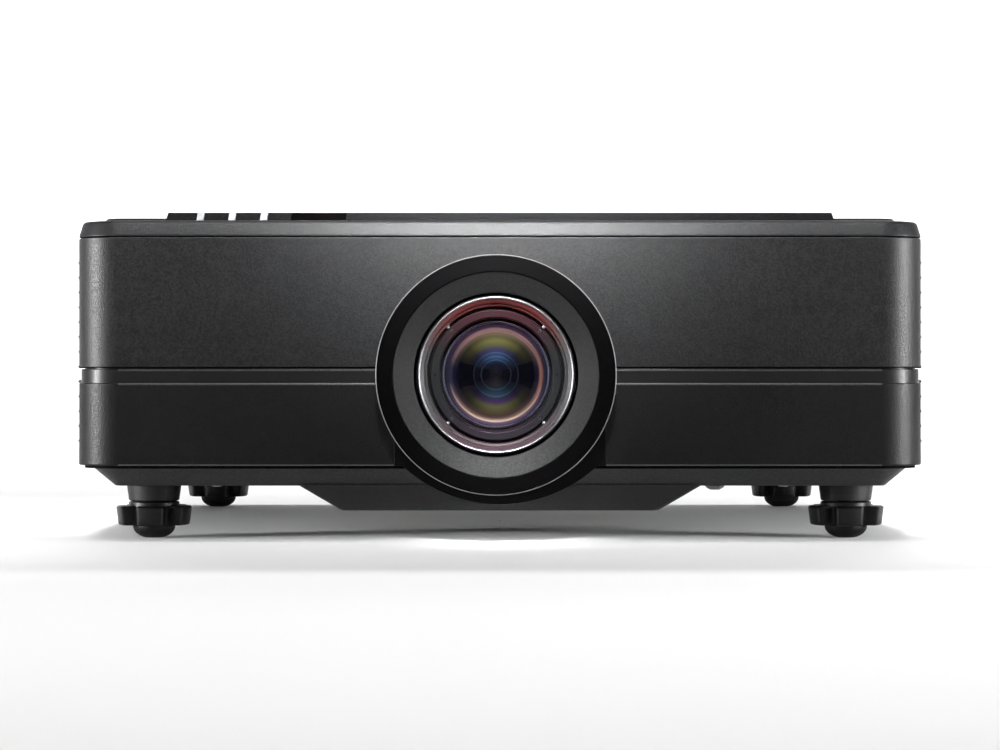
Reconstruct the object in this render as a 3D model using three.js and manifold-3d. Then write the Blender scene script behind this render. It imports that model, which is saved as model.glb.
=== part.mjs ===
// Installation projector with a centred zoom lens, as an assembly of separate named pieces.
// Millimetres, +Z up. The lens looks along -Y, and +X is on the right seen from the front.
// The feet stand on z = 0.
import * as THREE from "three";
import { ConvexGeometry } from "three/addons/geometries/ConvexGeometry.js";
import { mergeVertices } from "three/addons/utils/BufferGeometryUtils.js";
import Module from "manifold-3d";

// ---------------------------------------------------------------- driving dimensions

const GAP = 0.3; // between neighbouring pieces
const WALL = 3; // moulded walls
const REACH = 300; // longer than any piece, for cutting tools

const HALF_WIDTH = 236.3; // casing, without the vent ribs
const FRONT = -230.5; // y of the front face
const REAR = 254.5; // y of the rear face
const CORNER = 25; // radius of the casing's upright corners

// Heights of the casing's edges, from the ground up.
const BELLY_Z = 16.7;
const TRAY_BOTTOM = 31.1;
const TRAY_TOP = 41.4;
const WALL_BOTTOM = 42.6;
const WAIST_BOTTOM = 88.7;
const WAIST_TOP = 96.8;
const LID_SEAM = 169.4;
const LID_SHOULDER = 177.6;
const LID_EDGE = 178.5;
const DECK_Z = 180.5;
const TOP = 185;

const SEAM = 0.6; // shadow line between the lid and the wall below it
const WAIST_INSET = 1.2;
const TRAY_TOP_INSET = 7.8;
const TRAY_BOTTOM_INSET = 18.6;

// Lens axis at rest, and the centre of the opening that it shifts about in.
const LENS_X = -2.2;
const LENS_Z = 93;
const LENS_HOLE_R = 59;
const SURROUND_HALF = 58.7; // half width of the panel under the lens
const SURROUND_R = 79; // its rounded chin
const SURROUND_Z = 100.3; // centre of the chin's arc
const SURROUND_DEPTH = 16;
const RING_R = 65.8;
const RING_FRONT = -254.5;
const RING_BACK = FRONT - 1.7;
const RING_BORE = 44.7;

// Side vents.
const VENT_FRONT = -176;
const VENT_REAR = 66;
const VENT_LOW = 50;
const VENT_HIGH = 162;
const RIB_COUNT = 13;
const RIB_LOW = 55.1;
const RIB_PITCH = 8.5;
const RIB_REACH = 242; // x of the ribs' tips

// Rear connector panel.
const IO_HALF = 190;
const IO_LOW = 99.5;
const IO_HIGH = 163;
const IO_PLATE = 246; // y of the plate's inner face
const IO_FACE = 248.5; // y of its outer face
const IO_BOARD_Y = 238;

// Feet.
const FOOT_X = 198;
const FOOT_Y = [-175.5, 190];
const FOOT_BOSS_BOTTOM = 21.1;
const KNOB_TOP = 18.4;
const KNOB_BOTTOM = 7.2;
const KNOB_R = 21.8;
const STUD_R = 4;

// Lens gearing: two toothed rings on the barrel, each turned by a pinion.
const MODULE = 1.25;
const RING_TEETH = 80;
const PINION_TEETH = 16;
const BARREL_R = 43;
const FLANGE_R = 47.2; // the barrel's end flanges, and the sleeve that holds the outer ring
const FLANGE_Y = -221.5; // y of the front flange's front face

// ---------------------------------------------------------------- materials

const finish = (color, roughness, metalness = 0) =>
  new THREE.MeshStandardMaterial({ color, roughness, metalness });

const casingBlack = finish(0x2c2c2e, 0.5);
const trayBlack = finish(0x262627, 0.65);
const panelBlack = finish(0x0c0c0d, 0.35);
const rubber = finish(0x101011, 0.8);
const knobBlack = finish(0x131314, 0.45);
const lightPipe = finish(0xe8ebee, 0.3);
const darkWindow = finish(0x0a0508, 0.08);
const steel = finish(0x9a9c9e, 0.35, 1);
const castAlloy = finish(0x8b8e91, 0.5, 1);
const finAlloy = finish(0xb9bcc0, 0.35, 1);
const rimMetal = finish(0xc9c9cc, 0.2, 1);
const barrelBlack = finish(0x161617, 0.4);
const opticalGlass = finish(0x1a2238, 0.02);
const boardGreen = finish(0x14492c, 0.5);
const buttonBlack = finish(0x1c1c1d, 0.4);
const fanBlack = finish(0x18181a, 0.45);
const filterFoam = finish(0x3a3c3d, 0.95);
const wheelMirror = finish(0xd8d0a0, 0.15, 1);

// ---------------------------------------------------------------- solids

const wasm = await Module();
wasm.setup();

// A three.js geometry as a closed solid, with its faces turned outwards.
function solid(geometry) {
  const bare = geometry.index ? geometry.toNonIndexed() : geometry;
  const positions = new THREE.BufferGeometry().setAttribute("position", bare.getAttribute("position"));
  const merged = mergeVertices(positions, 1e-4);
  const vertProperties = merged.getAttribute("position").array;
  const make = (triVerts) => new wasm.Manifold(new wasm.Mesh({ numProp: 3, vertProperties, triVerts }));
  const made = make(new Uint32Array(merged.index.array));
  return made.volume() > 0 ? made : make(new Uint32Array(merged.index.array).reverse());
}

const join = (...pieces) => pieces.flat().reduce((a, b) => a.add(b));
const cut = (body, ...tools) => tools.flat().reduce((a, b) => a.subtract(b), body);

const root = new THREE.Group();

// Adds one named piece to the assembly.
function piece(name, body, material) {
  const { vertProperties, triVerts, numProp } = body.getMesh();
  const geometry = new THREE.BufferGeometry();
  const positions = new Float32Array((vertProperties.length / numProp) * 3);
  for (let i = 0; i < positions.length / 3; i++)
    positions.set(vertProperties.subarray(i * numProp, i * numProp + 3), i * 3);
  geometry.setAttribute("position", new THREE.BufferAttribute(positions, 3));
  geometry.setIndex(new THREE.BufferAttribute(triVerts, 1));
  geometry.computeVertexNormals();
  const mesh = new THREE.Mesh(geometry, material);
  mesh.name = name;
  root.add(mesh);
}

function box(x0, x1, y0, y1, z0, z1) {
  const geometry = new THREE.BoxGeometry(x1 - x0, y1 - y0, z1 - z0);
  return solid(geometry.translate((x0 + x1) / 2, (y0 + y1) / 2, (z0 + z1) / 2));
}

// A box on one side of the casing: side is 1 on the right and -1 on the left.
// near and far are its distances from x = 0.
function sideBox(side, near, far, y0, y1, z0, z1) {
  return side > 0 ? box(near, far, y0, y1, z0, z1) : box(-far, -near, y0, y1, z0, z1);
}

// A bar of round section along X, Y or Z, from low to high.
// a and b are its axis's other two coordinates.
function rod(axis, r, low, high, a, b, sides = 16) {
  const geometry = new THREE.CylinderGeometry(r, r, high - low, sides);
  if (axis === "x") geometry.rotateZ(Math.PI / 2).translate((low + high) / 2, a, b);
  if (axis === "y") geometry.translate(a, (low + high) / 2, b);
  if (axis === "z") geometry.rotateX(Math.PI / 2).translate(a, b, (low + high) / 2);
  return solid(geometry);
}

// An outline in plan, raised from z0 to z1.
function prism(shape, z0, z1, curveSegments = 4) {
  const geometry = new THREE.ExtrudeGeometry(shape, { depth: z1 - z0, bevelEnabled: false, curveSegments });
  return solid(geometry.translate(0, 0, z0));
}

// An outline drawn in x and z, carried from y0 to y1.
function slab(shape, y0, y1, curveSegments = 4) {
  const geometry = new THREE.ExtrudeGeometry(shape, { depth: y1 - y0, bevelEnabled: false, curveSegments });
  return solid(geometry.rotateX(Math.PI / 2).translate(0, y1, 0));
}

// A convex solid between one outline in plan and another at a second height.
function taper(lowShape, z0, highShape, z1) {
  const at = (shape, z) => shape.getPoints(4).map((p) => new THREE.Vector3(p.x, p.y, z));
  return solid(new ConvexGeometry([...at(lowShape, z0), ...at(highShape, z1)]));
}

// A turned solid on the lens axis, from [radius, y] points. A ring's points close on themselves.
function turned(points, segments = 32, x = LENS_X, z = LENS_Z) {
  const profile = points.map(([r, y]) => new THREE.Vector2(r, y));
  return solid(new THREE.LatheGeometry(profile, segments).translate(x, 0, z));
}

const ringOf = (points, segments, x, z) => turned([...points, points[0]], segments, x, z);

// A turned solid on an upright axis, from [radius, z] points.
function spun(points, x, y, segments = 16) {
  const profile = points.map(([r, z]) => new THREE.Vector2(r, z));
  return solid(new THREE.LatheGeometry(profile, segments).rotateX(Math.PI / 2).translate(x, y, 0));
}

// A rectangle with round corners.
function roundRect(x0, x1, y0, y1, r) {
  const shape = new THREE.Shape();
  shape.absarc(x1 - r, y0 + r, r, -Math.PI / 2, 0);
  shape.absarc(x1 - r, y1 - r, r, 0, Math.PI / 2);
  shape.absarc(x0 + r, y1 - r, r, Math.PI / 2, Math.PI);
  shape.absarc(x0 + r, y0 + r, r, Math.PI, 1.5 * Math.PI);
  shape.closePath();
  return shape;
}

const disc = (x, y, r) => new THREE.Shape().absarc(x, y, r, 0, 2 * Math.PI);

// The casing's outline in plan, moved inwards.
function outline(inset) {
  const r = Math.max(CORNER - inset, 4);
  return roundRect(-HALF_WIDTH + inset, HALF_WIDTH - inset, FRONT + inset, REAR - inset, r);
}

// The casing's upright wall between two heights.
function casingWall(z0, z1, inset = 0) {
  return cut(prism(outline(inset), z0, z1), prism(outline(inset + WALL), z0 - 1, z1 + 1));
}

// ---------------------------------------------------------------- casing

const lensHole = rod("y", LENS_HOLE_R, FRONT - 1, FRONT + SURROUND_DEPTH + 1, 0, LENS_Z, 40);
const ventWindows = [-1, 1].map((side) =>
  sideBox(side, HALF_WIDTH - WALL - 1, HALF_WIDTH + 1, VENT_FRONT, VENT_REAR, VENT_LOW, VENT_HIGH),
);
const ioWindow = box(-IO_HALF, IO_HALF, REAR - WALL - 1, REAR + 1, IO_LOW, IO_HIGH);

function lowerHousing() {
  const surroundWindow = box(-SURROUND_HALF, SURROUND_HALF, FRONT - 1, FRONT + WALL + 1, 0, WAIST_TOP);
  return cut(casingWall(WALL_BOTTOM, WAIST_BOTTOM - GAP), surroundWindow, ventWindows);
}

// The recessed strip between the housings. It stops at the filter's opening in the left wall,
// and a frame inside the wall carries it round below that opening.
function waistBand() {
  const near = HALF_WIDTH - WALL - 3.3;
  const far = HALF_WIDTH - WALL - 2 * GAP;
  const opening = sideBox(-1, near, HALF_WIDTH, VENT_FRONT, VENT_REAR, 0, REACH);
  const bar = 3.5;
  const low = VENT_LOW - 2 * bar;
  const frame = [
    sideBox(-1, near, far, VENT_FRONT - bar, VENT_FRONT, low, WAIST_TOP - GAP),
    sideBox(-1, near, far, VENT_REAR, VENT_REAR + bar, low, WAIST_TOP - GAP),
    sideBox(-1, near, far, VENT_FRONT - bar, VENT_REAR + bar, low, low + bar),
  ];
  const band = casingWall(WAIST_BOTTOM, WAIST_TOP - GAP, WAIST_INSET);
  return join(cut(band, lensHole, opening), frame);
}

function upperHousing() {
  return cut(casingWall(WAIST_TOP, LID_SEAM - SEAM / 2), lensHole, ventWindows, ioWindow);
}

// The raised panel: its front face slopes back from the lid's shoulder, and its top rises gently behind.
const PANEL_HALF = 185.9;
const PANEL_FRONT = FRONT + 6;
const PANEL_REAR = REAR - 40;
const PANEL_BOTTOM = LID_EDGE + GAP; // under its nose, in front of the deck
const PANEL_LIP = { y: PANEL_FRONT + 7, z: 183.4 };
const PANEL_CREST_Y = FRONT + 42.5;
const PANEL_SIDE_SLOPE = 1.35;
const DECK_INSET = 14; // where the lid's deck starts to rise

// Where the status lights and the infrared window sit in the panel's front edge.
const LIGHT_X = [-166.6, -149, -131.3];
const LIGHT_HALF = 1.9;
const LIGHT_END = PANEL_LIP.y + 14;
const RUNNER_LOW = DECK_Z - 2.2;
const RUNNER_Y = [PANEL_FRONT + 12, PANEL_FRONT + 18];
const IR_LEFT = -115.8;
const IR_RIGHT = -85.6;
const IR_END = PANEL_LIP.y + 11;

function topCover() {
  const shell = join(
    taper(outline(0), LID_SEAM + SEAM / 2, outline(2.2), LID_SHOULDER),
    taper(outline(2.2), LID_SHOULDER, outline(3.4), LID_EDGE),
    taper(outline(DECK_INSET), LID_EDGE, outline(DECK_INSET + 2), DECK_Z),
  );
  const inside = [
    taper(outline(WALL), LID_SEAM - 1, outline(WALL + 2.2), LID_SHOULDER - WALL),
    prism(outline(DECK_INSET + 2 + WALL), LID_SHOULDER - WALL - 1, DECK_Z - WALL),
  ];
  const runnerChannel = box(
    LIGHT_X[0] - 3, LIGHT_X[2] + 3, RUNNER_Y[0] - GAP, RUNNER_Y[1] + GAP, RUNNER_LOW - GAP, TOP,
  );
  return cut(shell, inside, runnerChannel);
}

// A solid with one section in y and z, from x0 to x1.
function acrossX(points, x0, x1) {
  const shape = new THREE.Shape(points.map(([y, z]) => new THREE.Vector2(y, z)));
  const geometry = new THREE.ExtrudeGeometry(shape, { depth: x1 - x0, bevelEnabled: false });
  const axes = new THREE.Matrix4().makeBasis(
    new THREE.Vector3(0, 1, 0), new THREE.Vector3(0, 0, 1), new THREE.Vector3(1, 0, 0),
  );
  return solid(geometry.applyMatrix4(axes).translate(x0, 0, 0));
}

function panelBody() {
  const deckFront = FRONT + DECK_INSET - 0.15;
  const onDeck = DECK_Z + GAP;
  const section = [
    [PANEL_FRONT, PANEL_BOTTOM], [PANEL_LIP.y, PANEL_LIP.z], [PANEL_CREST_Y, TOP], [PANEL_REAR - 2.6, TOP],
    [PANEL_REAR, onDeck], [deckFront + onDeck - PANEL_BOTTOM, onDeck], [deckFront, PANEL_BOTTOM],
  ];
  const plan = (inset) =>
    roundRect(-PANEL_HALF + inset, PANEL_HALF - inset, PANEL_FRONT + inset, PANEL_REAR - inset, 4);
  const sides = taper(plan(0), PANEL_BOTTOM, plan(PANEL_SIDE_SLOPE), TOP);
  return acrossX([...section].reverse(), -PANEL_HALF, PANEL_HALF).intersect(sides);
}

const panelSlot = (x0, x1, y1) => box(x0, x1, PANEL_FRONT - 1, y1, PANEL_BOTTOM - 1, TOP + 1);

function lightProngs(clearance) {
  const half = LIGHT_HALF + clearance;
  return LIGHT_X.map((x) => panelSlot(x - half, x + half, LIGHT_END + clearance));
}

const irBlock = (clearance) => panelSlot(IR_LEFT - clearance, IR_RIGHT + clearance, IR_END + clearance);

const topPanel = () => cut(panelBody(), lightProngs(GAP), irBlock(GAP));

function statusLightPipe() {
  const prongs = join(lightProngs(0)).intersect(panelBody());
  const runner = box(LIGHT_X[0] - 2, LIGHT_X[2] + 2, ...RUNNER_Y, RUNNER_LOW, DECK_Z);
  const necks = LIGHT_X.map((x) =>
    box(x - 1.2, x + 1.2, RUNNER_Y[0] + 1, RUNNER_Y[1] - 1, RUNNER_LOW, DECK_Z + 1),
  );
  return join(prongs, runner, necks);
}

const frontIrWindow = () => irBlock(0).intersect(panelBody());

// The chin's round outline below the housing's lower edge.
const chin = (r, y0, y1, z1) =>
  rod("y", r, y0, y1, 0, SURROUND_Z, 48).intersect(box(-REACH, REACH, y0, y1, 0, z1));

function lensSurroundPanel() {
  const plate = box(
    -SURROUND_HALF + GAP, SURROUND_HALF - GAP, FRONT, FRONT + WALL, WALL_BOTTOM, WAIST_BOTTOM - GAP,
  );
  return cut(join(plate, chin(SURROUND_R, FRONT, FRONT + SURROUND_DEPTH, WALL_BOTTOM + 1)), lensHole);
}

const footPlaces = FOOT_Y.flatMap((y) => [-FOOT_X, FOOT_X].map((x) => [x, y]));

// The tray under the casing, with the belly below the lens and a boss for each foot.
function bottomCover() {
  const bellyShape = (halfWidth, front, rear) => roundRect(-halfWidth, halfWidth, front, rear, 3);
  const bellyFront = FRONT + TRAY_BOTTOM_INSET;
  const bossTop = TRAY_BOTTOM + 1;
  const bossProfile = [[0, FOOT_BOSS_BOTTOM], [14.3, FOOT_BOSS_BOTTOM], [15.6, bossTop], [0, bossTop]];
  const outer = join(
    taper(outline(TRAY_BOTTOM_INSET), TRAY_BOTTOM, outline(TRAY_TOP_INSET), TRAY_TOP),
    taper(bellyShape(89, bellyFront + 5, 70), BELLY_Z, bellyShape(113.7, bellyFront, 95), TRAY_BOTTOM),
    footPlaces.map(([x, y]) => spun(bossProfile, x, y)),
  );
  const inside = [
    taper(outline(TRAY_BOTTOM_INSET + 2), TRAY_BOTTOM + WALL, outline(TRAY_TOP_INSET + WALL), TRAY_TOP + 1),
    taper(
      bellyShape(87, bellyFront + 9, 66), BELLY_Z + WALL,
      bellyShape(109, bellyFront + 5, 90), TRAY_BOTTOM + WALL + 1,
    ),
  ];
  const bosses = footPlaces.map(([x, y]) => rod("z", 9, TRAY_BOTTOM + 1, 52, x, y, 12));
  const studHoles = footPlaces.map(([x, y]) => rod("z", STUD_R + 0.5, 0, REACH, x, y, 12));
  const chinRoom = chin(SURROUND_R + GAP, FRONT - 1, FRONT + SURROUND_DEPTH + GAP, TRAY_TOP + 1);
  return cut(join(cut(outer, inside), bosses), studHoles, chinRoom);
}

// A louvred panel that fills one side's vent windows: a slotted plate with a rib between each row of slots.
function ventGrille(side) {
  const plateIn = HALF_WIDTH - WAIST_INSET + GAP;
  const plateOut = HALF_WIDTH + 1;
  const plate = sideBox(
    side, plateIn, plateOut, VENT_FRONT + GAP, VENT_REAR - GAP, VENT_LOW + GAP, VENT_HIGH - GAP,
  );
  const ribs = [];
  const slots = [];
  const columns = 2;
  const bar = 6;
  const span = (VENT_REAR - VENT_FRONT - bar) / columns;
  for (let row = 0; row < RIB_COUNT; row++) {
    const z = RIB_LOW + row * RIB_PITCH;
    ribs.push(sideBox(side, plateOut - 0.5, RIB_REACH, VENT_FRONT + 1, VENT_REAR - 1, z - 1, z + 1));
    if (row === RIB_COUNT - 1) break;
    for (let column = 0; column < columns; column++) {
      const y = VENT_FRONT + bar + column * span;
      slots.push(sideBox(side, plateIn - 1, plateOut + 1, y, y + span - bar, z + 2.3, z + RIB_PITCH - 2.3));
    }
  }
  return cut(join(plate, ribs), slots);
}

// A steel loop under the tray that a locking cable goes through.
const LOOP_X = 138;
const LOOP_Y = 20;
const LOOP_BOTTOM = 18.7;

function securityBar() {
  const barR = 2.5;
  const path = new THREE.CurvePath();
  const half = 7.2 - barR;
  const low = LOOP_BOTTOM + barR;
  const bend = 3;
  const at = (x, z) => new THREE.Vector3(LOOP_X + x, LOOP_Y, z);
  const top = TRAY_BOTTOM - GAP;
  path.add(new THREE.LineCurve3(at(-half, top), at(-half, low + bend)));
  path.add(new THREE.QuadraticBezierCurve3(at(-half, low + bend), at(-half, low), at(-half + bend, low)));
  path.add(new THREE.LineCurve3(at(-half + bend, low), at(half - bend, low)));
  path.add(new THREE.QuadraticBezierCurve3(at(half - bend, low), at(half, low), at(half, low + bend)));
  path.add(new THREE.LineCurve3(at(half, low + bend), at(half, top)));
  const section = disc(0, 0, barR);
  return solid(new THREE.ExtrudeGeometry(section, { steps: 15, curveSegments: 5, extrudePath: path }));
}

// ---------------------------------------------------------------- rear connectors and keypad

const INLET = { x0: 138, x1: 184, z0: 103, z1: 160 };
const SOCKET = { x: 161, z: 116, halfWidth: 12.2, halfHeight: 8.4, depth: 17 };
const SWITCH = { x: 161, z: 145, halfWidth: 6.5, halfHeight: 11 };
const NETWORK = { x: 0, z: 146, halfWidth: 18, halfHeight: 7, ports: [9.2, -9.2] };
const HDMI = [105, 82, 59].map((x) => ({ x, z: 146 }));
const USB = { x: 36, z: 146 };
const DSUB = [96, 54].map((x) => ({ x, z: 117 }));
const JACKS = [24, 6, -12, -30].map((x) => ({ x, z: 117 }));

// Keypad: a round enter key inside four arrow keys, with the power and menu keys beside them.
const PAD_X = -150;
const PAD_Z = 131;
const ARROW_OFFSET = 15;
const KEYS = {
  enter_button: { x: PAD_X, z: PAD_Z, round: 7 },
  up_button: { x: PAD_X, z: PAD_Z + ARROW_OFFSET, wide: 6.5, high: 4 },
  down_button: { x: PAD_X, z: PAD_Z - ARROW_OFFSET, wide: 6.5, high: 4 },
  left_button: { x: PAD_X + ARROW_OFFSET, z: PAD_Z, wide: 4, high: 6.5 },
  right_button: { x: PAD_X - ARROW_OFFSET, z: PAD_Z, wide: 4, high: 6.5 },
  power_button: { x: -112, z: 146, round: 6 },
  menu_button: { x: -112, z: 117, round: 6 },
};

// A key's outline between two depths, made larger or smaller all round.
function keySolid({ x, z, round, wide, high }, y0, y1, grow) {
  if (round) return rod("y", round + grow, y0, y1, x, z, 12);
  return box(x - wide - grow, x + wide + grow, y0, y1, z - high - grow, z + high + grow);
}

const keyButton = (key) => join(keySolid(key, 242, 249.9, 0), keySolid(key, 242, IO_PLATE - GAP, 1.2));

function connectorOpenings(clearance) {
  function window({ x, z }, halfWidth, halfHeight) {
    const w = halfWidth + clearance;
    const h = halfHeight + clearance;
    return box(x - w, x + w, IO_BOARD_Y, REAR + 1, z - h, z + h);
  }
  return [
    window(NETWORK, NETWORK.halfWidth, NETWORK.halfHeight),
    ...HDMI.map((c) => window(c, 7.7, 3)),
    window(USB, 7.2, 3.4),
    ...DSUB.map((c) => window(c, 9, 5)),
    ...JACKS.map((c) => rod("y", 3.9 + clearance, IO_BOARD_Y, REAR + 1, c.x, c.z, 12)),
  ];
}

function rearIoPanel() {
  const frame = box(-IO_HALF + GAP, IO_HALF - GAP, IO_PLATE, REAR, IO_LOW + GAP, IO_HIGH - GAP);
  const rim = 2;
  const recess = box(-IO_HALF + rim, IO_HALF - rim, IO_FACE, REAR + 1, IO_LOW + rim, IO_HIGH - rim);
  const inletWindow = box(
    INLET.x0 - GAP, INLET.x1 + GAP, IO_PLATE - 1, REAR + 1, INLET.z0 - GAP, INLET.z1 + GAP,
  );
  const keyHoles = Object.values(KEYS).map((key) => keySolid(key, IO_PLATE - 1, IO_FACE + 1, GAP));
  return cut(frame, recess, inletWindow, connectorOpenings(GAP), keyHoles);
}

// The connector board: a circuit board that stands behind the panel, with its sockets reaching through.
function ioBoard() {
  const board = box(-84, 126, IO_BOARD_Y - 1.6, IO_BOARD_Y + GAP, 102, 161);
  const shell = (c, w, h) => box(c.x - w, c.x + w, IO_BOARD_Y, IO_FACE + 1, c.z - h, c.z + h);
  const hollow = (c, w, h, depth) =>
    box(c.x - w, c.x + w, IO_FACE + 1 - depth, REAR + 1, c.z - h, c.z + h);
  const tongue = (c, w) => box(c.x - w, c.x + w, IO_BOARD_Y, IO_FACE, c.z - 0.9, c.z + 0.9);
  const video = HDMI.map((c) => join(cut(shell(c, 7.7, 3), hollow(c, 6.9, 2.2, 8)), tongue(c, 5.5)));
  const usb = join(cut(shell(USB, 7.2, 3.4), hollow(USB, 6.3, 2.5, 8)), tongue(USB, 5.3));
  const serial = DSUB.map((c) => shell(c, 9, 5));
  const jacks = JACKS.map((c) =>
    cut(
      rod("y", 3.9, IO_BOARD_Y, IO_FACE + 1, c.x, c.z, 12),
      rod("y", 1.8, IO_FACE - 7, REAR, c.x, c.z, 8),
    ),
  );
  return join(board, video, usb, serial, jacks);
}

// Two network sockets side by side in one housing, standing on the connector board.
function networkSockets() {
  const { x, z, halfWidth, halfHeight, ports } = NETWORK;
  const block = box(
    x - halfWidth, x + halfWidth, IO_BOARD_Y + 2 * GAP, IO_FACE + 1, z - halfHeight, z + halfHeight,
  );
  const hollows = ports.map((port) =>
    box(x + port - 6, x + port + 6, IO_FACE - 8, REAR, z - 4, z + 4),
  );
  return cut(block, hollows);
}

// Mains socket and switch housing in one moulding.
function powerInlet() {
  const block = box(INLET.x0, INLET.x1, IO_PLATE - 20, IO_FACE + 1, INLET.z0, INLET.z1);
  const socket = box(
    SOCKET.x - SOCKET.halfWidth, SOCKET.x + SOCKET.halfWidth,
    IO_FACE + 1 - SOCKET.depth, REAR,
    SOCKET.z - SOCKET.halfHeight, SOCKET.z + SOCKET.halfHeight,
  );
  const switchWell = box(
    SWITCH.x - SWITCH.halfWidth, SWITCH.x + SWITCH.halfWidth,
    IO_PLATE - 14, REAR,
    SWITCH.z - SWITCH.halfHeight, SWITCH.z + SWITCH.halfHeight,
  );
  return cut(block, socket, switchWell);
}

// A rocker with two faces that meet in a shallow valley, turned to its off position.
function powerSwitch() {
  const halfHeight = 9.8;
  const pivotY = IO_FACE - 3;
  const shape = new THREE.Shape();
  shape.moveTo(-halfHeight, 3.8);
  shape.lineTo(0, 2.6);
  shape.lineTo(halfHeight, 3.8);
  shape.lineTo(halfHeight - 1, -1);
  shape.lineTo(3, -4);
  shape.lineTo(-3, -4);
  shape.lineTo(-halfHeight + 1, -1);
  shape.closePath();
  const width = 2 * SWITCH.halfWidth - 2 * GAP;
  const geometry = new THREE.ExtrudeGeometry(shape, { depth: width, bevelEnabled: false });
  geometry.translate(0, 0, -width / 2).rotateY(Math.PI / 2);
  geometry.rotateX(THREE.MathUtils.degToRad(8)).translate(SWITCH.x, pivotY, SWITCH.z);
  return solid(geometry);
}

// ---------------------------------------------------------------- feet

// A round outline with five lobes, for gripping.
function starShape(r, lobes = 5) {
  const shape = new THREE.Shape();
  const valley = r * 0.6;
  const lobeHalf = 0.27;
  const first = -Math.PI / 2;
  for (let i = 0; i < lobes; i++) {
    const middle = first + (i * 2 * Math.PI) / lobes;
    const next = middle + Math.PI / lobes;
    const left = middle + lobeHalf;
    if (i === 0) shape.moveTo(r * Math.cos(middle - lobeHalf), r * Math.sin(middle - lobeHalf));
    shape.absarc(0, 0, r, middle - lobeHalf, left, false);
    const after = middle + (2 * Math.PI) / lobes - lobeHalf;
    shape.quadraticCurveTo(
      valley * Math.cos(next), valley * Math.sin(next), r * Math.cos(after), r * Math.sin(after),
    );
  }
  return shape;
}

// Star knob with its collar, threaded stud and the spigot that carries the pad.
function footKnob(x, y) {
  const shape = starShape(KNOB_R);
  const geometry = new THREE.ExtrudeGeometry(shape, {
    depth: KNOB_TOP - KNOB_BOTTOM, bevelEnabled: false, curveSegments: 3,
  });
  const star = solid(geometry.translate(x, y, KNOB_BOTTOM));
  const spindle = spun(
    [
      [0, 3.2], [2.8, 3.2], [2.8, KNOB_BOTTOM + 1], [14.6, KNOB_BOTTOM + 1],
      [14.6, FOOT_BOSS_BOTTOM - 0.6], [STUD_R, FOOT_BOSS_BOTTOM - 0.6], [STUD_R, 62], [0, 62],
    ],
    x, y, 12,
  );
  return join(star, spindle);
}

// Domed rubber pad, free to stay still on the ground while the knob turns.
function footPad(x, y) {
  const r = 12.1;
  const top = KNOB_BOTTOM - GAP;
  const profile = [[0, 2.9], [3.1, 2.9], [3.1, top], [r, top], [11.4, 3.6], [7.6, 0.6], [5, 0], [0, 0]];
  return spun(profile, x, y);
}

// ---------------------------------------------------------------- lens and its shift mechanism

// Half the angle of an involute tooth at a radius.
function toothHalfAngle(r, teeth) {
  const pressure = THREE.MathUtils.degToRad(20);
  const pitchR = (MODULE * teeth) / 2;
  const backlash = 0.24;
  const involute = (a) => Math.tan(a) - a;
  const baseR = pitchR * Math.cos(pressure);
  const here = Math.acos(Math.min(1, baseR / Math.max(r, baseR)));
  return Math.PI / (2 * teeth) - backlash / (2 * pitchR) + involute(pressure) - involute(here);
}

// A gear's outline. Teeth stand on the arc from tooth number first to last.
// The rest is a plain round edge.
function gearShape(teeth, phase, first = 0, last = teeth - 1) {
  const pitchR = (MODULE * teeth) / 2;
  const rootR = pitchR - 1.15 * MODULE;
  const tipR = pitchR + 0.8 * MODULE;
  const step = (2 * Math.PI) / teeth;
  const points = [];
  const add = (r, angle) => points.push(new THREE.Vector2(r * Math.cos(angle), r * Math.sin(angle)));
  for (let i = 0; i < teeth; i++) {
    const middle = phase + i * step;
    if (i < first || i > last) {
      if (i % 3 === 0) add(rootR, middle);
      continue;
    }
    for (const r of [rootR, pitchR, tipR]) add(r, middle - toothHalfAngle(r, teeth));
    for (const r of [tipR, pitchR, rootR]) add(r, middle + toothHalfAngle(r, teeth));
  }
  return new THREE.Shape(points);
}

const PINION_DISTANCE = (MODULE * (RING_TEETH + PINION_TEETH)) / 2;
const FOCUS_ANGLE = Math.PI / 4;
const ZOOM_ANGLE = (3 * Math.PI) / 4;
const FOCUS_Y = [-218, -210];
const ZOOM_Y = [-188, -180];
const CARRIAGE_Y = [-146, -140];

// A gear's outline on the lens axis, or beside it, between two depths.
function gear(shape, [y0, y1], x, z) {
  const depth = y1 - y0;
  const geometry = new THREE.ExtrudeGeometry(shape, { depth, bevelEnabled: false, curveSegments: 1 });
  return solid(geometry.rotateX(Math.PI / 2).translate(x, y1, z));
}

// A toothed ring that turns on the barrel.
// Its teeth are centred on the pinion's direction, where a gap faces it.
function gearedRing([y0, y1], angle) {
  const toothed = 6;
  const step = (2 * Math.PI) / RING_TEETH;
  const shape = gearShape(RING_TEETH, angle - (toothed - 0.5) * step, 0, 2 * toothed - 1);
  const bore = rod("y", BARREL_R + 0.6, y0 - 1, y1 + 1, LENS_X, LENS_Z, 32);
  return cut(gear(shape, [y0, y1], LENS_X, LENS_Z), bore);
}

const pinionPlace = (angle) => [
  LENS_X + PINION_DISTANCE * Math.cos(angle),
  LENS_Z + PINION_DISTANCE * Math.sin(angle),
];

// A pinion on its motor's shaft, with one tooth pointing at the lens axis.
function pinion([y0, y1], angle) {
  const [x, z] = pinionPlace(angle);
  const teeth = gear(gearShape(PINION_TEETH, angle + Math.PI), [y0 - 0.5, y1 + 0.5], x, z);
  return join(teeth, rod("y", 1.5, y0, y1 + 5, x, z, 8));
}

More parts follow.
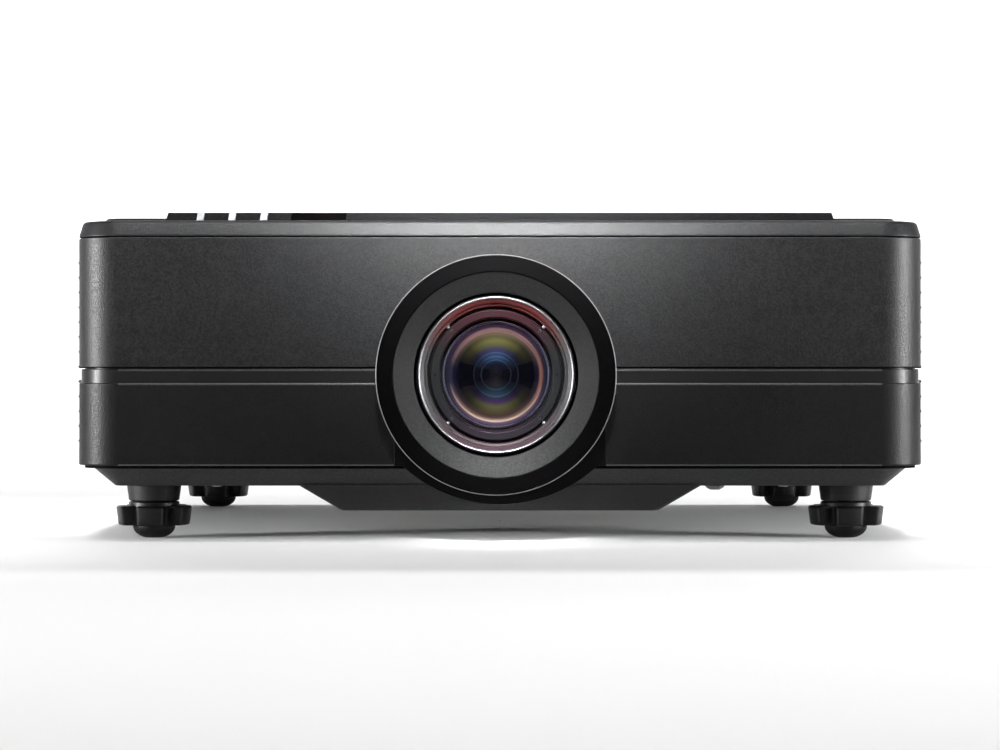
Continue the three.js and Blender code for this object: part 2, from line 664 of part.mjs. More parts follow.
// A slim gear motor whose rear end stands on the horizontal carriage.
function gearMotor(front, angle) {
  const [x, z] = pinionPlace(angle);
  const body = join(
    rod("y", 7, front, CARRIAGE_Y[0] - GAP, x, z, 12),
    rod("y", 8.5, CARRIAGE_Y[0] - 4, CARRIAGE_Y[0] - GAP, x, z, 12),
  );
  return cut(body, rod("y", 2, front - 1, front + 6, x, z, 12));
}

// The ring around the lens: a band that leans outwards, a dish that falls away to the bore,
// and a sleeve back to the barrel.
function lensRing() {
  const bandInner = 56.3;
  return ringOf(
    [
      [RING_BORE, FLANGE_Y - GAP], [FLANGE_R, FLANGE_Y - GAP], [FLANGE_R, RING_BACK],
      [RING_R, RING_BACK], [RING_R, RING_FRONT + 1.9], [RING_R - 0.7, RING_FRONT + 1.1],
      [bandInner, RING_FRONT], [bandInner - 0.5, RING_FRONT + 0.7],
      [45.6, RING_FRONT + 8], [RING_BORE, RING_FRONT + 8.8],
    ],
    40,
  );
}

// Front cell: the bright rim that shows, and a skirt that slides in the barrel.
function frontLensCell() {
  return ringOf(
    [
      [43.4, -237], [43.4, -246], [41.6, -246.6], [41.6, -241], [36, -241], [30.4, -236],
      [30.4, -222], [28, -222], [28, -206], [37.6, -206], [37.6, -237],
    ],
    24,
  );
}

function frontLensElement() {
  return turned([[0, -246.2], [22, -245.2], [41.2, -242.4], [41.2, -241.3], [0, -241.3]], 24);
}

function innerLensElement() {
  return turned([[0, -236], [16, -234.4], [30, -229], [30, -222.3], [0, -222.3]], 24);
}

function lensBarrel() {
  return ringOf(
    [
      [38, -203.5], [38, FLANGE_Y], [FLANGE_R, FLANGE_Y], [FLANGE_R, FLANGE_Y + 2],
      [BARREL_R, FLANGE_Y + 2],
      [BARREL_R, -154], [FLANGE_R, -154], [FLANGE_R, CARRIAGE_Y[0] - GAP],
      [34, CARRIAGE_Y[0] - GAP], [34, -72], [28, -72], [28, -158], [36, -160], [36, -203.5],
    ],
    24,
  );
}

const ROD_R = 4;
const BLOCK_HOLE_R = 4.4;
const SCREW_R = 3;
const H_ROD_Z = [LENS_Z - 44, LENS_Z + 44];
const H_ROD_Y = -132;
const V_PLATE_Y = [-124, -118];
const V_ROD_X = 92;
const V_ROD_Y = -110;
const FRAME_Y = [-100, -94];
const H_SCREW_Z = LENS_Z + 59;
const V_SCREW_X = 110;
const V_SCREW_Y = -121;

// Carries the lens sideways on two level rods.
function horizontalCarriage() {
  const plate = box(LENS_X - 62, LENS_X + 62, ...CARRIAGE_Y, LENS_Z - 52, LENS_Z + 52);
  const bore = rod("y", 35.5, CARRIAGE_Y[0] - 1, CARRIAGE_Y[1] + 1, LENS_X, LENS_Z, 32);
  const blocks = H_ROD_Z.flatMap((z) =>
    [-48, 48].map((x) => box(x - 8, x + 8, CARRIAGE_Y[1] - 1, H_ROD_Y + 6.5, z - 7, z + 7)),
  );
  const nut = box(-8, 8, CARRIAGE_Y[0], H_ROD_Y + 6, LENS_Z + 50, H_SCREW_Z + 6);
  const rodHoles = H_ROD_Z.map((z) => rod("x", BLOCK_HOLE_R, -REACH, REACH, H_ROD_Y, z, 10));
  const screwHole = rod("x", SCREW_R + 0.5, -REACH, REACH, H_ROD_Y, H_SCREW_Z, 10);
  return cut(join(plate, blocks, nut), bore, rodHoles, screwHole);
}

// Carries the horizontal carriage up and down, on two upright rods.
function verticalCarriage() {
  const plate = box(-86, 86, ...V_PLATE_Y, LENS_Z - 54, LENS_Z + 54);
  const bore = rod("y", 42, V_PLATE_Y[0] - 1, V_PLATE_Y[1] + 1, 0, LENS_Z, 32);
  const posts = [-78, 78].map((x) =>
    box(x - 5, x + 5, H_ROD_Y - 6, V_PLATE_Y[0] + 1, LENS_Z - 52, H_SCREW_Z + 6),
  );
  const rods = H_ROD_Z.map((z) => rod("x", ROD_R, -75, 75, H_ROD_Y, z, 10));
  const blocks = [-V_ROD_X, V_ROD_X].flatMap((x) =>
    [LENS_Z - 36, LENS_Z + 36].map((z) =>
      box(x - 8, x + 8, V_PLATE_Y[0], V_ROD_Y + 6.5, z - 8, z + 8),
    ),
  );
  const nut = box(82, V_SCREW_X + 6, V_SCREW_Y - 6, V_SCREW_Y + 6, LENS_Z - 6, LENS_Z + 6);
  const rodHoles = [-V_ROD_X, V_ROD_X].map((x) => rod("z", BLOCK_HOLE_R, 0, REACH, x, V_ROD_Y, 10));
  const screwHoles = [
    rod("z", SCREW_R + 0.5, 0, REACH, V_SCREW_X, V_SCREW_Y, 10),
    rod("x", SCREW_R + 0.5, -REACH, REACH, H_ROD_Y, H_SCREW_Z, 10),
  ];
  return cut(join(plate, posts, rods, blocks, nut), bore, rodHoles, screwHoles);
}

// Fixed frame bolted to the optical engine. It holds the upright rods.
function lensMountFrame() {
  const plate = box(-104, 104, ...FRAME_Y, LENS_Z - 58, LENS_Z + 62);
  const bore = rod("y", 44, FRAME_Y[0] - 1, FRAME_Y[1] + 1, 0, LENS_Z, 32);
  const posts = [-1, 1].flatMap((side) =>
    [LENS_Z - 54, LENS_Z + 57].map((z) =>
      box(side * V_ROD_X - 8, side * V_ROD_X + 8, V_ROD_Y - 6, FRAME_Y[0] + 1, z - 4, z + 4),
    ),
  );
  const rods = [-V_ROD_X, V_ROD_X].map((x) => rod("z", ROD_R, LENS_Z - 52, LENS_Z + 54, x, V_ROD_Y, 10));
  return cut(join(plate, posts, rods), bore);
}

const verticalShiftScrew = () =>
  join(
    rod("z", SCREW_R, 38, 146, V_SCREW_X, V_SCREW_Y, 12),
    rod("z", 6, 38, 44, V_SCREW_X, V_SCREW_Y, 12),
  );

const horizontalShiftScrew = () =>
  join(
    rod("x", SCREW_R, -88, 100, H_ROD_Y, H_SCREW_Z, 12),
    rod("x", 6, 92, 100, H_ROD_Y, H_SCREW_Z, 12),
  );

// ---------------------------------------------------------------- optical engine, light source and cooling

const ENGINE = { x0: -75, x1: 100, y0: FRAME_Y[1] + GAP, y1: 40, z0: 46, z1: 134 };
const PHOSPHOR = { x: 60, y: 10, z: 92, r: 32 };

// A cast box, open on top, that holds the phosphor wheel and the light path to the lens.
function opticalEngine() {
  const t = 4;
  const shell = box(ENGINE.x0, ENGINE.x1, ENGINE.y0, ENGINE.y1, ENGINE.z0, ENGINE.z1);
  const inside = box(ENGINE.x0 + t, ENGINE.x1 - t, ENGINE.y0 + t, ENGINE.y1 - t, ENGINE.z0 + t, REACH);
  const lensOpening = rod("y", 42, ENGINE.y0 - 1, ENGINE.y0 + t + 1, 0, LENS_Z, 32);
  const divider = box(ENGINE.x0 + 2, ENGINE.x1 - 2, -24, -20, ENGINE.z0 + 2, ENGINE.z1 - 10);
  const lightTunnelHole = box(LENS_X - 9, LENS_X + 9, -26, -18, LENS_Z - 7, LENS_Z + 7);
  const laserPort = rod("x", 16, ENGINE.x1 - t - 1, ENGINE.x1 + 1, 10, 92);
  const dmdPort = box(-20, 20, ENGINE.y1 - t - 1, ENGINE.y1 + 1, 78, 106);
  return cut(join(cut(shell, inside), divider), lensOpening, lightTunnelHole, laserPort, dmdPort);
}

// A coated disc on its motor.
function wheel({ x, y, z, r }, thickness) {
  return turned(
    [
      [0, y - 3], [8, y - 3], [8, y], [r, y],
      [r, y + thickness], [12, y + thickness], [12, y + 16], [0, y + 16],
    ],
    24, x, z,
  );
}

const LASER_X = [ENGINE.x1 + GAP, 118];
const SINK_X = [LASER_X[1] + GAP, 190];

function laserModule() {
  const block = box(...LASER_X, -30, 50, 58, 126);
  const emitter = rod("x", 15, ENGINE.x1 - 3, LASER_X[0] + 1, 10, 92);
  return join(block, emitter);
}

// Finned sink between the light source and the fans.
function laserHeatSink() {
  const [x0, x1] = SINK_X;
  const base = box(x0, x0 + 8, -90, 66, 52, 140);
  const fins = [];
  for (let z = 54; z <= 138; z += 7) fins.push(box(x0 + 6, x1, -90, 66, z, z + 1.6));
  return join(base, fins);
}

function dmdBoard() {
  const y = ENGINE.y1 + GAP;
  const board = box(-42, 42, y + 6, y + 7.6, 62, 126);
  const chip = box(-16, 16, y, y + 7, 80, 104);
  const sink = box(-20, 20, y + 7, y + 20, 74, 110);
  const gaps = [];
  for (let x = -16; x < 18; x += 6) gaps.push(box(x, x + 3, y + 10, y + 21, 70, 114));
  return join(board, chip, cut(sink, gaps));
}

function mainBoard() {
  const z = 144;
  const board = box(-150, 90, 66, 226, z, z + 1.6);
  const chips = [
    box(-60, -20, 120, 160, z + 1, z + 12),
    box(10, 34, 110, 134, z + 1, z + 4),
    box(-110, -84, 90, 116, z + 1, z + 4),
    box(46, 78, 180, 196, z + 1, z + 9),
    box(-140, -118, 150, 212, z + 1, z + 9),
  ];
  return join(board, chips);
}

// Mains power supply: a board with its transformer, chokes and capacitors.
function powerSupply() {
  const z = 46;
  const board = box(-208, -106, -160, 60, z, z + 1.6);
  const blocks = [
    box(-200, -160, -150, -104, z + 1, z + 38),
    box(-196, -120, -20, 4, z + 1, z + 34),
    box(-150, -112, 16, 52, z + 1, z + 26),
    box(-150, -112, -152, -112, z + 1, z + 26),
  ];
  const cans = [[-190, -80], [-160, -80], [-130, -80], [-190, -48], [-160, -48]].map(([x, y]) =>
    rod("z", 11, z + 1, z + 40, x, y, 12),
  );
  return join(board, blocks, cans);
}

const FANS = { exhaust_fan_front: -124, exhaust_fan_rear: -22 };
const FAN = { x0: 198, x1: 223, z: 106, half: 46, bore: 43.5, hub: 18 };

function fanFrame(y) {
  const body = box(FAN.x0, FAN.x1, y - FAN.half, y + FAN.half, FAN.z - FAN.half, FAN.z + FAN.half);
  const bore = rod("x", FAN.bore, FAN.x0 - 1, FAN.x1 + 1, y, FAN.z, 32);
  const motor = rod("x", FAN.hub - 1, FAN.x0, FAN.x0 + 3, y, FAN.z);
  const struts = [
    box(FAN.x0, FAN.x0 + 3, y - FAN.bore - 1, y + FAN.bore + 1, FAN.z - 2, FAN.z + 2),
    box(FAN.x0, FAN.x0 + 3, y - 2, y + 2, FAN.z - FAN.bore - 1, FAN.z + FAN.bore + 1),
  ];
  return join(cut(body, bore), motor, struts);
}

// A hub with seven pitched blades.
function fanRotor(y) {
  const blades = 7;
  const x0 = FAN.x0 + 5;
  const hub = rod("x", FAN.hub, x0, FAN.x1 - 2, y, FAN.z, 20);
  const all = [hub];
  for (let i = 0; i < blades; i++) {
    const length = 25;
    const geometry = new THREE.BoxGeometry(1.8, 24, length);
    geometry.rotateZ(THREE.MathUtils.degToRad(52));
    geometry.translate(0, 0, FAN.hub - 1.5 + length / 2).rotateX((i * 2 * Math.PI) / blades);
    all.push(solid(geometry.translate((x0 + FAN.x1 - 2) / 2, y, FAN.z)));
  }
  return join(all).intersect(rod("x", FAN.bore - 1.5, x0, FAN.x1 - 1, y, FAN.z, 24));
}

const airFilter = () =>
  sideBox(
    -1, HALF_WIDTH - WALL - 12, HALF_WIDTH - WALL - 2,
    VENT_FRONT + 4, VENT_REAR - 4, VENT_LOW + 3, VENT_HIGH - 3,
  );

// ---------------------------------------------------------------- assembly

piece("top_cover", topCover(), casingBlack);
piece("top_panel", topPanel(), trayBlack);
piece("status_light_pipe", statusLightPipe(), lightPipe);
piece("front_ir_window", frontIrWindow(), darkWindow);
piece("upper_housing", upperHousing(), casingBlack);
piece("waist_band", waistBand(), casingBlack);
piece("lower_housing", lowerHousing(), casingBlack);
piece("bottom_cover", bottomCover(), trayBlack);
piece("lens_surround_panel", lensSurroundPanel(), panelBlack);
piece("exhaust_grille", ventGrille(1), casingBlack);
piece("filter_cover", ventGrille(-1), casingBlack);
piece("air_filter", airFilter(), filterFoam);
piece("security_bar", securityBar(), steel);

piece("rear_io_panel", rearIoPanel(), trayBlack);
piece("io_board", ioBoard(), boardGreen);
piece("network_sockets", networkSockets(), steel);
piece("power_inlet", powerInlet(), buttonBlack);
piece("power_switch", powerSwitch(), buttonBlack);
for (const [name, key] of Object.entries(KEYS)) piece(name, keyButton(key), buttonBlack);

const footNames = ["front_left", "front_right", "rear_left", "rear_right"];
footPlaces.forEach(([x, y], i) => {
  piece(footNames[i] + "_knob", footKnob(x, y), knobBlack);
  piece(footNames[i] + "_pad", footPad(x, y), rubber);
});

piece("lens_ring", lensRing(), panelBlack);
piece("front_lens_cell", frontLensCell(), rimMetal);
piece("front_lens_element", frontLensElement(), opticalGlass);
piece("inner_lens_element", innerLensElement(), opticalGlass);
piece("lens_barrel", lensBarrel(), barrelBlack);
piece("focus_ring", gearedRing(FOCUS_Y, FOCUS_ANGLE), barrelBlack);
piece("zoom_ring", gearedRing(ZOOM_Y, ZOOM_ANGLE), barrelBlack);
piece("focus_pinion", pinion(FOCUS_Y, FOCUS_ANGLE), steel);
piece("zoom_pinion", pinion(ZOOM_Y, ZOOM_ANGLE), steel);
piece("focus_motor", gearMotor(FOCUS_Y[1] + 3, FOCUS_ANGLE), castAlloy);
piece("zoom_motor", gearMotor(ZOOM_Y[1] + 3, ZOOM_ANGLE), castAlloy);
piece("horizontal_carriage", horizontalCarriage(), castAlloy);
piece("horizontal_shift_screw", horizontalShiftScrew(), steel);
piece("vertical_carriage", verticalCarriage(), castAlloy);
piece("vertical_shift_screw", verticalShiftScrew(), steel);
piece("lens_mount_frame", lensMountFrame(), castAlloy);

piece("optical_engine", opticalEngine(), castAlloy);
piece("phosphor_wheel", wheel(PHOSPHOR, 1.2), wheelMirror);
piece("laser_module", laserModule(), finAlloy);
piece("laser_heat_sink", laserHeatSink(), finAlloy);
piece("dmd_board", dmdBoard(), boardGreen);
piece("main_board", mainBoard(), boardGreen);
piece("power_supply", powerSupply(), boardGreen);
for (const [name, y] of Object.entries(FANS)) {
  piece(name + "_frame", fanFrame(y), fanBlack);
  piece(name + "_rotor", fanRotor(y), fanBlack);
}

export default root;
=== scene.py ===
"""Visual model of an installation projector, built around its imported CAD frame.

Profiles and places are in millimetres, in the CAD's frame: +Z up, and the lens looks along -Y.
They become metres when a mesh is made.
"""
import math

import bmesh
import bpy
from mathutils import Matrix, Vector


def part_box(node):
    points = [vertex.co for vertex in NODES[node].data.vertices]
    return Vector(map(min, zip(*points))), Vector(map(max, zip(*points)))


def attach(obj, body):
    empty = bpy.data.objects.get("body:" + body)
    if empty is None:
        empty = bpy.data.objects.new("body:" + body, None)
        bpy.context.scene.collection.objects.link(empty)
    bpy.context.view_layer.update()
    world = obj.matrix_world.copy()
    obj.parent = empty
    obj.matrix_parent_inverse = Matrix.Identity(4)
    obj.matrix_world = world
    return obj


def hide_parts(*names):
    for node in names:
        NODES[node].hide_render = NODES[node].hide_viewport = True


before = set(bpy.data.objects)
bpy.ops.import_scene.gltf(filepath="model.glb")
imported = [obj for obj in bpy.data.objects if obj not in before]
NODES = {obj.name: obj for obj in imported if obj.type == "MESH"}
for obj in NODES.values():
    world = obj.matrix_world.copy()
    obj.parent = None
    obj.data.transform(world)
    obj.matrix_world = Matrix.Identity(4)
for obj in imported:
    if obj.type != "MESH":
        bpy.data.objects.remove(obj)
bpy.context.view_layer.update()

MM = 0.001
SAME_POINT = 1e-7  # metres: vertices closer than this are merged
SMOOTH_DEG = 38  # edges sharper than this stay sharp
COLOR_UNIT = 10000  # colours are written in ten-thousandths


def node_box(name):
    """Lowest and highest corner of a CAD node, in millimetres."""
    low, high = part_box(name)
    return low / MM, high / MM


def heights(name):
    return tuple(corner.z for corner in node_box(name))


def rgba(color):
    """A colour as a socket takes it."""
    return (*(part / COLOR_UNIT for part in color), 1)


# ---- driving dimensions

WALL_LOW, WALL_HIGH = node_box("upper_housing")
HALF_WIDTH = WALL_HIGH.x
FRONT = WALL_LOW.y
REAR = WALL_HIGH.y
CORNER = 25
WALL = 3
GAP = 0.3  # round a panel that sits in an opening
EDGE_END = 212  # half the length of the painted edge highlights, which stop before the corners

LOWER_Z = heights("lower_housing")
WAIST_Z = heights("waist_band")
UPPER_Z = heights("upper_housing")
LID_LOW, DECK_Z = heights("top_cover")
TRAY_TOP = 41.4
TRAY_BOTTOM = 31.1
BELLY_Z = heights("bottom_cover")[0]

RING_LOW, RING_HIGH = node_box("lens_ring")
LENS_X = (RING_LOW.x + RING_HIGH.x) / 2
LENS_Z = (RING_LOW.z + RING_HIGH.z) / 2
LENS_HOLE_R = 59
CELL_FRONT = node_box("front_lens_cell")[0].y

FEET = {
    name: sum(node_box(name + "_pad"), Vector((0, 0, 0))) / 2
    for name in ("front_left", "front_right", "rear_left", "rear_right")
}
VENTS = {  # by side: the piece, the CAD node it replaces, and its body
    -1: ("intake_louvres", "filter_cover", "air_filter_unit"),
    1: ("exhaust_louvres", "exhaust_grille", "casing"),
}

# ---- materials


class Shader:
    """A material with one Principled shader, and short ways to add procedural detail."""

    def __init__(self, name, color, roughness, metallic=0, specular=0.5, coat=0, coat_roughness=0.05):
        self.material = bpy.data.materials.new(name)
        self.material.use_nodes = True
        self.tree = self.material.node_tree
        self.surface = self.tree.nodes["Principled BSDF"]
        self.put("Base Color", rgba(color))
        self.put("Roughness", roughness)
        self.put("Metallic", metallic)
        self.put("Specular IOR Level", specular)
        self.put("Coat Weight", coat)
        self.put("Coat Roughness", coat_roughness)
        self.places = self.node("TexCoord").outputs["Object"]
        self.material.diffuse_color = rgba(color)

    def node(self, kind, sockets=None, **settings):
        """A new node, with its settings and what its sockets hold."""
        made = self.tree.nodes.new("ShaderNode" + kind)
        for key, value in settings.items():
            setattr(made, key, value)
        for socket, value in (sockets or {}).items():
            if isinstance(value, (int, float)):
                made.inputs[socket].default_value = value
            elif isinstance(value, tuple):
                made.inputs[socket].default_value = rgba(value)
            else:
                self.link(value, made.inputs[socket])
        return made

    def put(self, socket, value):
        self.surface.inputs[socket].default_value = value

    def link(self, a, b):
        self.tree.links.new(a, b)

    def noise(self, scale, detail, stretch=(1, 1, 1)):
        """Noise by place. Scale is in features per metre."""
        mapping = self.node("Mapping", {"Vector": self.places})
        mapping.inputs["Scale"].default_value = stretch
        sockets = {"Scale": scale, "Detail": detail, "Vector": mapping.outputs["Vector"]}
        return self.node("TexNoise", sockets).outputs["Fac"]

    def cells(self, scale):
        return self.node("TexVoronoi", {"Scale": scale, "Vector": self.places}).outputs["Distance"]

    def ramp(self, factor, stops):
        """Colours by factor: stops are (position, (r, g, b)) or (position, value from 0 to 1)."""
        ramp = self.node("ValToRGB", {"Fac": factor})
        elements = ramp.color_ramp.elements
        while len(elements) < len(stops):
            elements.new(0.5)
        for element, (position, color) in zip(elements, stops):
            element.position = position
            element.color = rgba(color) if isinstance(color, tuple) else (color, color, color, 1)
        return ramp.outputs["Color"]

    def math(self, operation, *values):
        return self.node("Math", dict(enumerate(values)), operation=operation).outputs["Value"]

    def mix(self, factor, a, b):
        """A mix of two colours, which are a Mix node's sockets 6 and 7."""
        return self.node("Mix", {0: factor, 6: a, 7: b}, data_type="RGBA").outputs[2]

    def color(self, value):
        self.link(value, self.surface.inputs["Base Color"])

    def vary(self, color_a, color_b, scale, low=0.35, high=0.65, stretch=(1, 1, 1)):
        """Base colour that wanders between two tones."""
        self.color(self.ramp(self.noise(scale, 4, stretch), [(low, color_a), (high, color_b)]))

    def roughen(self, low, high, scale, stretch=(1, 1, 1)):
        value = self.ramp(self.noise(scale, 3, stretch), [(0.3, low), (0.7, high)])
        self.link(value, self.surface.inputs["Roughness"])

    def bump(self, height, strength, distance_mm):
        """Adds relief on top of any that is there."""
        node = self.node("Bump", {"Strength": strength, "Distance": distance_mm * MM, "Height": height})
        normal = self.surface.inputs["Normal"]
        if normal.links:
            self.link(normal.links[0].from_socket, node.inputs["Normal"])
        self.link(node.outputs["Normal"], normal)


def plastic(name, dark, light, roughness, grain, depth, specular=0.5):
    """Moulded plastic with a spark-eroded grain: features per metre, and their depth in millimetres."""
    shader = Shader(name, light, roughness, specular=specular)
    specks = shader.noise(grain * 0.6, 2)
    clouds = shader.noise(grain * 0.08, 3)
    mottle = shader.math("MULTIPLY_ADD", specks, 0.88, shader.math("MULTIPLY", clouds, 0.12))
    shader.color(shader.ramp(mottle, [(0.36, dark), (0.64, light)]))
    shader.roughen(roughness - 0.08, roughness + 0.09, grain * 0.7)
    shader.bump(shader.cells(grain), 0.6, depth)
    shader.bump(shader.noise(grain * 0.9, 2), 0.5, depth)
    return shader.material


def brushed_metal(name, color, roughness, stretch):
    shader = Shader(name, color, roughness, metallic=1)
    fine = tuple(c * 0.82 for c in color)
    shader.vary(fine, color, 900, 0.3, 0.7, stretch)
    shader.roughen(roughness * 0.75, roughness * 1.3, 700, stretch)
    shader.bump(shader.noise(1200, 2, stretch), 0.15, 0.02)
    return shader.material


def cast_metal(name, color, roughness):
    shader = Shader(name, color, roughness, metallic=1)
    shader.vary(tuple(c * 0.7 for c in color), color, 120)
    shader.roughen(roughness - 0.08, roughness + 0.12, 260)
    shader.bump(shader.noise(1500, 4), 0.5, 0.12)
    return shader.material


def circuit_board(name):
    """Green solder mask with a faint pattern of tracks under it."""
    shader = Shader(name, (120, 850, 350), 0.35, coat=0.3, coat_roughness=0.15)
    tracks = shader.node("TexBrick", {
        "Scale": 220, "Color1": (100, 750, 300), "Color2": (160, 1000, 420), "Mortar": (200, 1400, 600),
        "Mortar Size": 0.04, "Vector": shader.places,
    })
    shader.color(tracks.outputs["Color"])
    shader.bump(tracks.outputs["Fac"], 0.3, 0.05)
    return shader.material


def open_foam(name):
    shader = Shader(name, (350, 370, 400), 0.95, specular=0.2)
    shader.color(shader.ramp(shader.cells(700), [(0.1, (80, 80, 90)), (0.6, (600, 630, 670))]))
    shader.bump(shader.cells(700), 1, 0.8)
    return shader.material


CASING = plastic("casing_plastic", (4, 4, 5), (68, 68, 72), 0.45, 1500, 0.11, 0.18)
# A darker copy of the casing plastic for the walls below the waist: painted shade, as the lower front gets less
# light.
LOWER = plastic("lower_casing_painted_shade", (3, 3, 4), (22, 22, 24), 0.45, 1300, 0.11, 0.155)
# Light plastic on thin bevel faces: painted highlights along the edges.
PAINTED_EDGE_HIGHLIGHT = plastic("edge_painted_highlight", (120, 120, 125), (240, 240, 250), 0.34, 1300, 0.03, 0.5)
# Near-black on faces inside the gaps between parts: painted shade.
GAP_PAINTED_SHADE = plastic("gap_painted_shade", (2, 2, 2), (4, 4, 4), 0.7, 1300, 0.02, 0.03)
LID = plastic("lid_plastic", (10, 11, 13), (46, 48, 54), 0.47, 1300, 0.11, 0.125)
TRAY = plastic("tray_plastic", (48, 48, 50), (104, 104, 108), 0.52, 1100, 0.08, 0.3)
# A darker copy of the tray plastic for the underside: painted shade.
BELLY = plastic("belly_painted_shade", (22, 22, 23), (46, 46, 48), 0.52, 1100, 0.08, 0.25)
DECK = plastic("deck_plastic", (34, 34, 36), (70, 70, 73), 0.8, 1300, 0.05, 0)
WAIST = plastic("waist_plastic", (30, 30, 32), (42, 42, 45), 0.36, 1900, 0.012, 0.16)
RING = plastic("ring_paint", (3, 3, 4), (7, 7, 8), 0.42, 1900, 0.012, 0.022)
# Light plastic on the lens ring's outer rim: a painted highlight.
RING_RIM_HIGHLIGHT = plastic("ring_rim_painted_highlight", (500, 500, 500), (850, 850, 850), 0.35, 1900, 0.01)
CHIN = plastic("surround_plastic", (3, 3, 4), (8, 8, 9), 0.42, 1700, 0.02, 0.07)
KNOB = plastic("knob_plastic", (6, 6, 7), (16, 16, 17), 0.4, 1400, 0.03, 0.22)
BUTTON = plastic("button_plastic", (120, 120, 125), (170, 170, 176), 0.38, 1800, 0.02)
SOCKET_PLASTIC = plastic("socket_plastic", (60, 60, 62), (90, 90, 93), 0.35, 1800, 0.02)
FAN_PLASTIC = plastic("fan_plastic", (80, 80, 84), (130, 130, 136), 0.4, 1200, 0.03)
RUBBER = plastic("foot_rubber", (8, 8, 8), (18, 18, 18), 0.62, 1000, 0.05, 0.15)
STEEL = brushed_metal("plated_steel", (4600, 4600, 4700), 0.32, (1, 6, 1))
SHAFT = brushed_metal("ground_steel", (5500, 5500, 5700), 0.22, (1, 1, 8))
ALLOY = cast_metal("cast_alloy", (3800, 3900, 4000), 0.5)
FINS = brushed_metal("fin_alloy", (6000, 6100, 6300), 0.3, (1, 8, 1))
GOLD = brushed_metal("gold_contacts", (8300, 6000, 2200), 0.25, (1, 8, 1))
SILVER_RIM = cast_metal("polished_rim", (2200, 2160, 2200), 0.34)
BARREL = plastic("anodised_black", (70, 70, 74), (120, 120, 126), 0.36, 2200, 0.01)
BLUE_PLASTIC = plastic("blue_plastic", (100, 500, 2100), (140, 650, 2600), 0.35, 2200, 0.01)
GREEN_PLASTIC = plastic("green_plastic", (200, 1900, 600), (300, 2400, 800), 0.35, 2200, 0.01)
AMBER_PLASTIC = plastic("amber_plastic", (4200, 1900, 200), (5000, 2400, 300), 0.35, 2200, 0.01)
INK = plastic("key_ink", (3600, 3600, 3700), (4400, 4400, 4500), 0.55, 2600, 0.005)
BOARD = circuit_board("circuit_board")
FOAM = open_foam("filter_foam")


def light_pipe_material():
    shader = Shader("light_pipe", (4000, 4100, 4200), 0.35, coat=0.4, coat_roughness=0.1)
    shader.vary((1800, 1840, 1900), (2200, 2250, 2300), 300)
    shader.bump(shader.noise(2200, 2), 0.1, 0.02)
    shader.put("Subsurface Weight", 0.15)
    shader.put("Subsurface Radius", (0.004, 0.004, 0.004))
    return shader.material


def ir_window_material():
    shader = Shader("ir_window", (6, 5, 6), 0.06, specular=0.3, coat=0.4, coat_roughness=0.03)
    shader.vary((4, 3, 4), (9, 7, 8), 80)
    shader.bump(shader.noise(900, 2), 0.03, 0.01)
    return shader.material


LIGHT_PIPE = light_pipe_material()
IR_WINDOW = ir_window_material()


def dish_material():
    """Satin paint of the dish with painted light: lighter at the bottom, where it faces up, a little lighter at the
    top, and darker at the sides.
    """
    shader = Shader("dish_painted_shading", (80, 80, 80), 0.6, specular=0.12)
    _radius, up, _right = by_radius(shader)
    grain = shader.ramp(shader.noise(800, 2), [(0.36, (16, 17, 17)), (0.64, (42, 43, 43))])
    bright = shader.ramp(shader.noise(800, 2), [(0.36, (110, 114, 112)), (0.64, (190, 195, 192))])
    above = shader.math("MULTIPLY", shader.ramp(up, [(0.1, 0), (0.95, 1)]), 0.22)
    below = shader.ramp(shader.math("MULTIPLY", up, -1), [(0.15, 0), (0.97, 1)])
    shader.color(shader.mix(shader.math("ADD", above, below), grain, bright))
    shader.bump(shader.cells(1300), 0.6, 0.06)
    return shader.material


def by_radius(shader):
    """Distance from the lens axis in metres, and its upward and rightward shares, from -1 to 1."""
    axis = shader.node("CombineXYZ", {"X": LENS_X * MM, "Z": LENS_Z * MM})
    apart = shader.node("VectorMath", {0: shader.places, 1: axis.outputs["Vector"]}, operation="SUBTRACT")
    parts = shader.node("SeparateXYZ", {0: apart.outputs["Vector"]})
    x, z = parts.outputs["X"], parts.outputs["Z"]
    squares = shader.math("MULTIPLY", x, x), shader.math("MULTIPLY", z, z)
    radius = shader.math("SQRT", shader.math("ADD", *squares))
    safe = shader.math("MAXIMUM", radius, 1e-5)
    return radius, shader.math("DIVIDE", z, safe), shader.math("DIVIDE", x, safe)


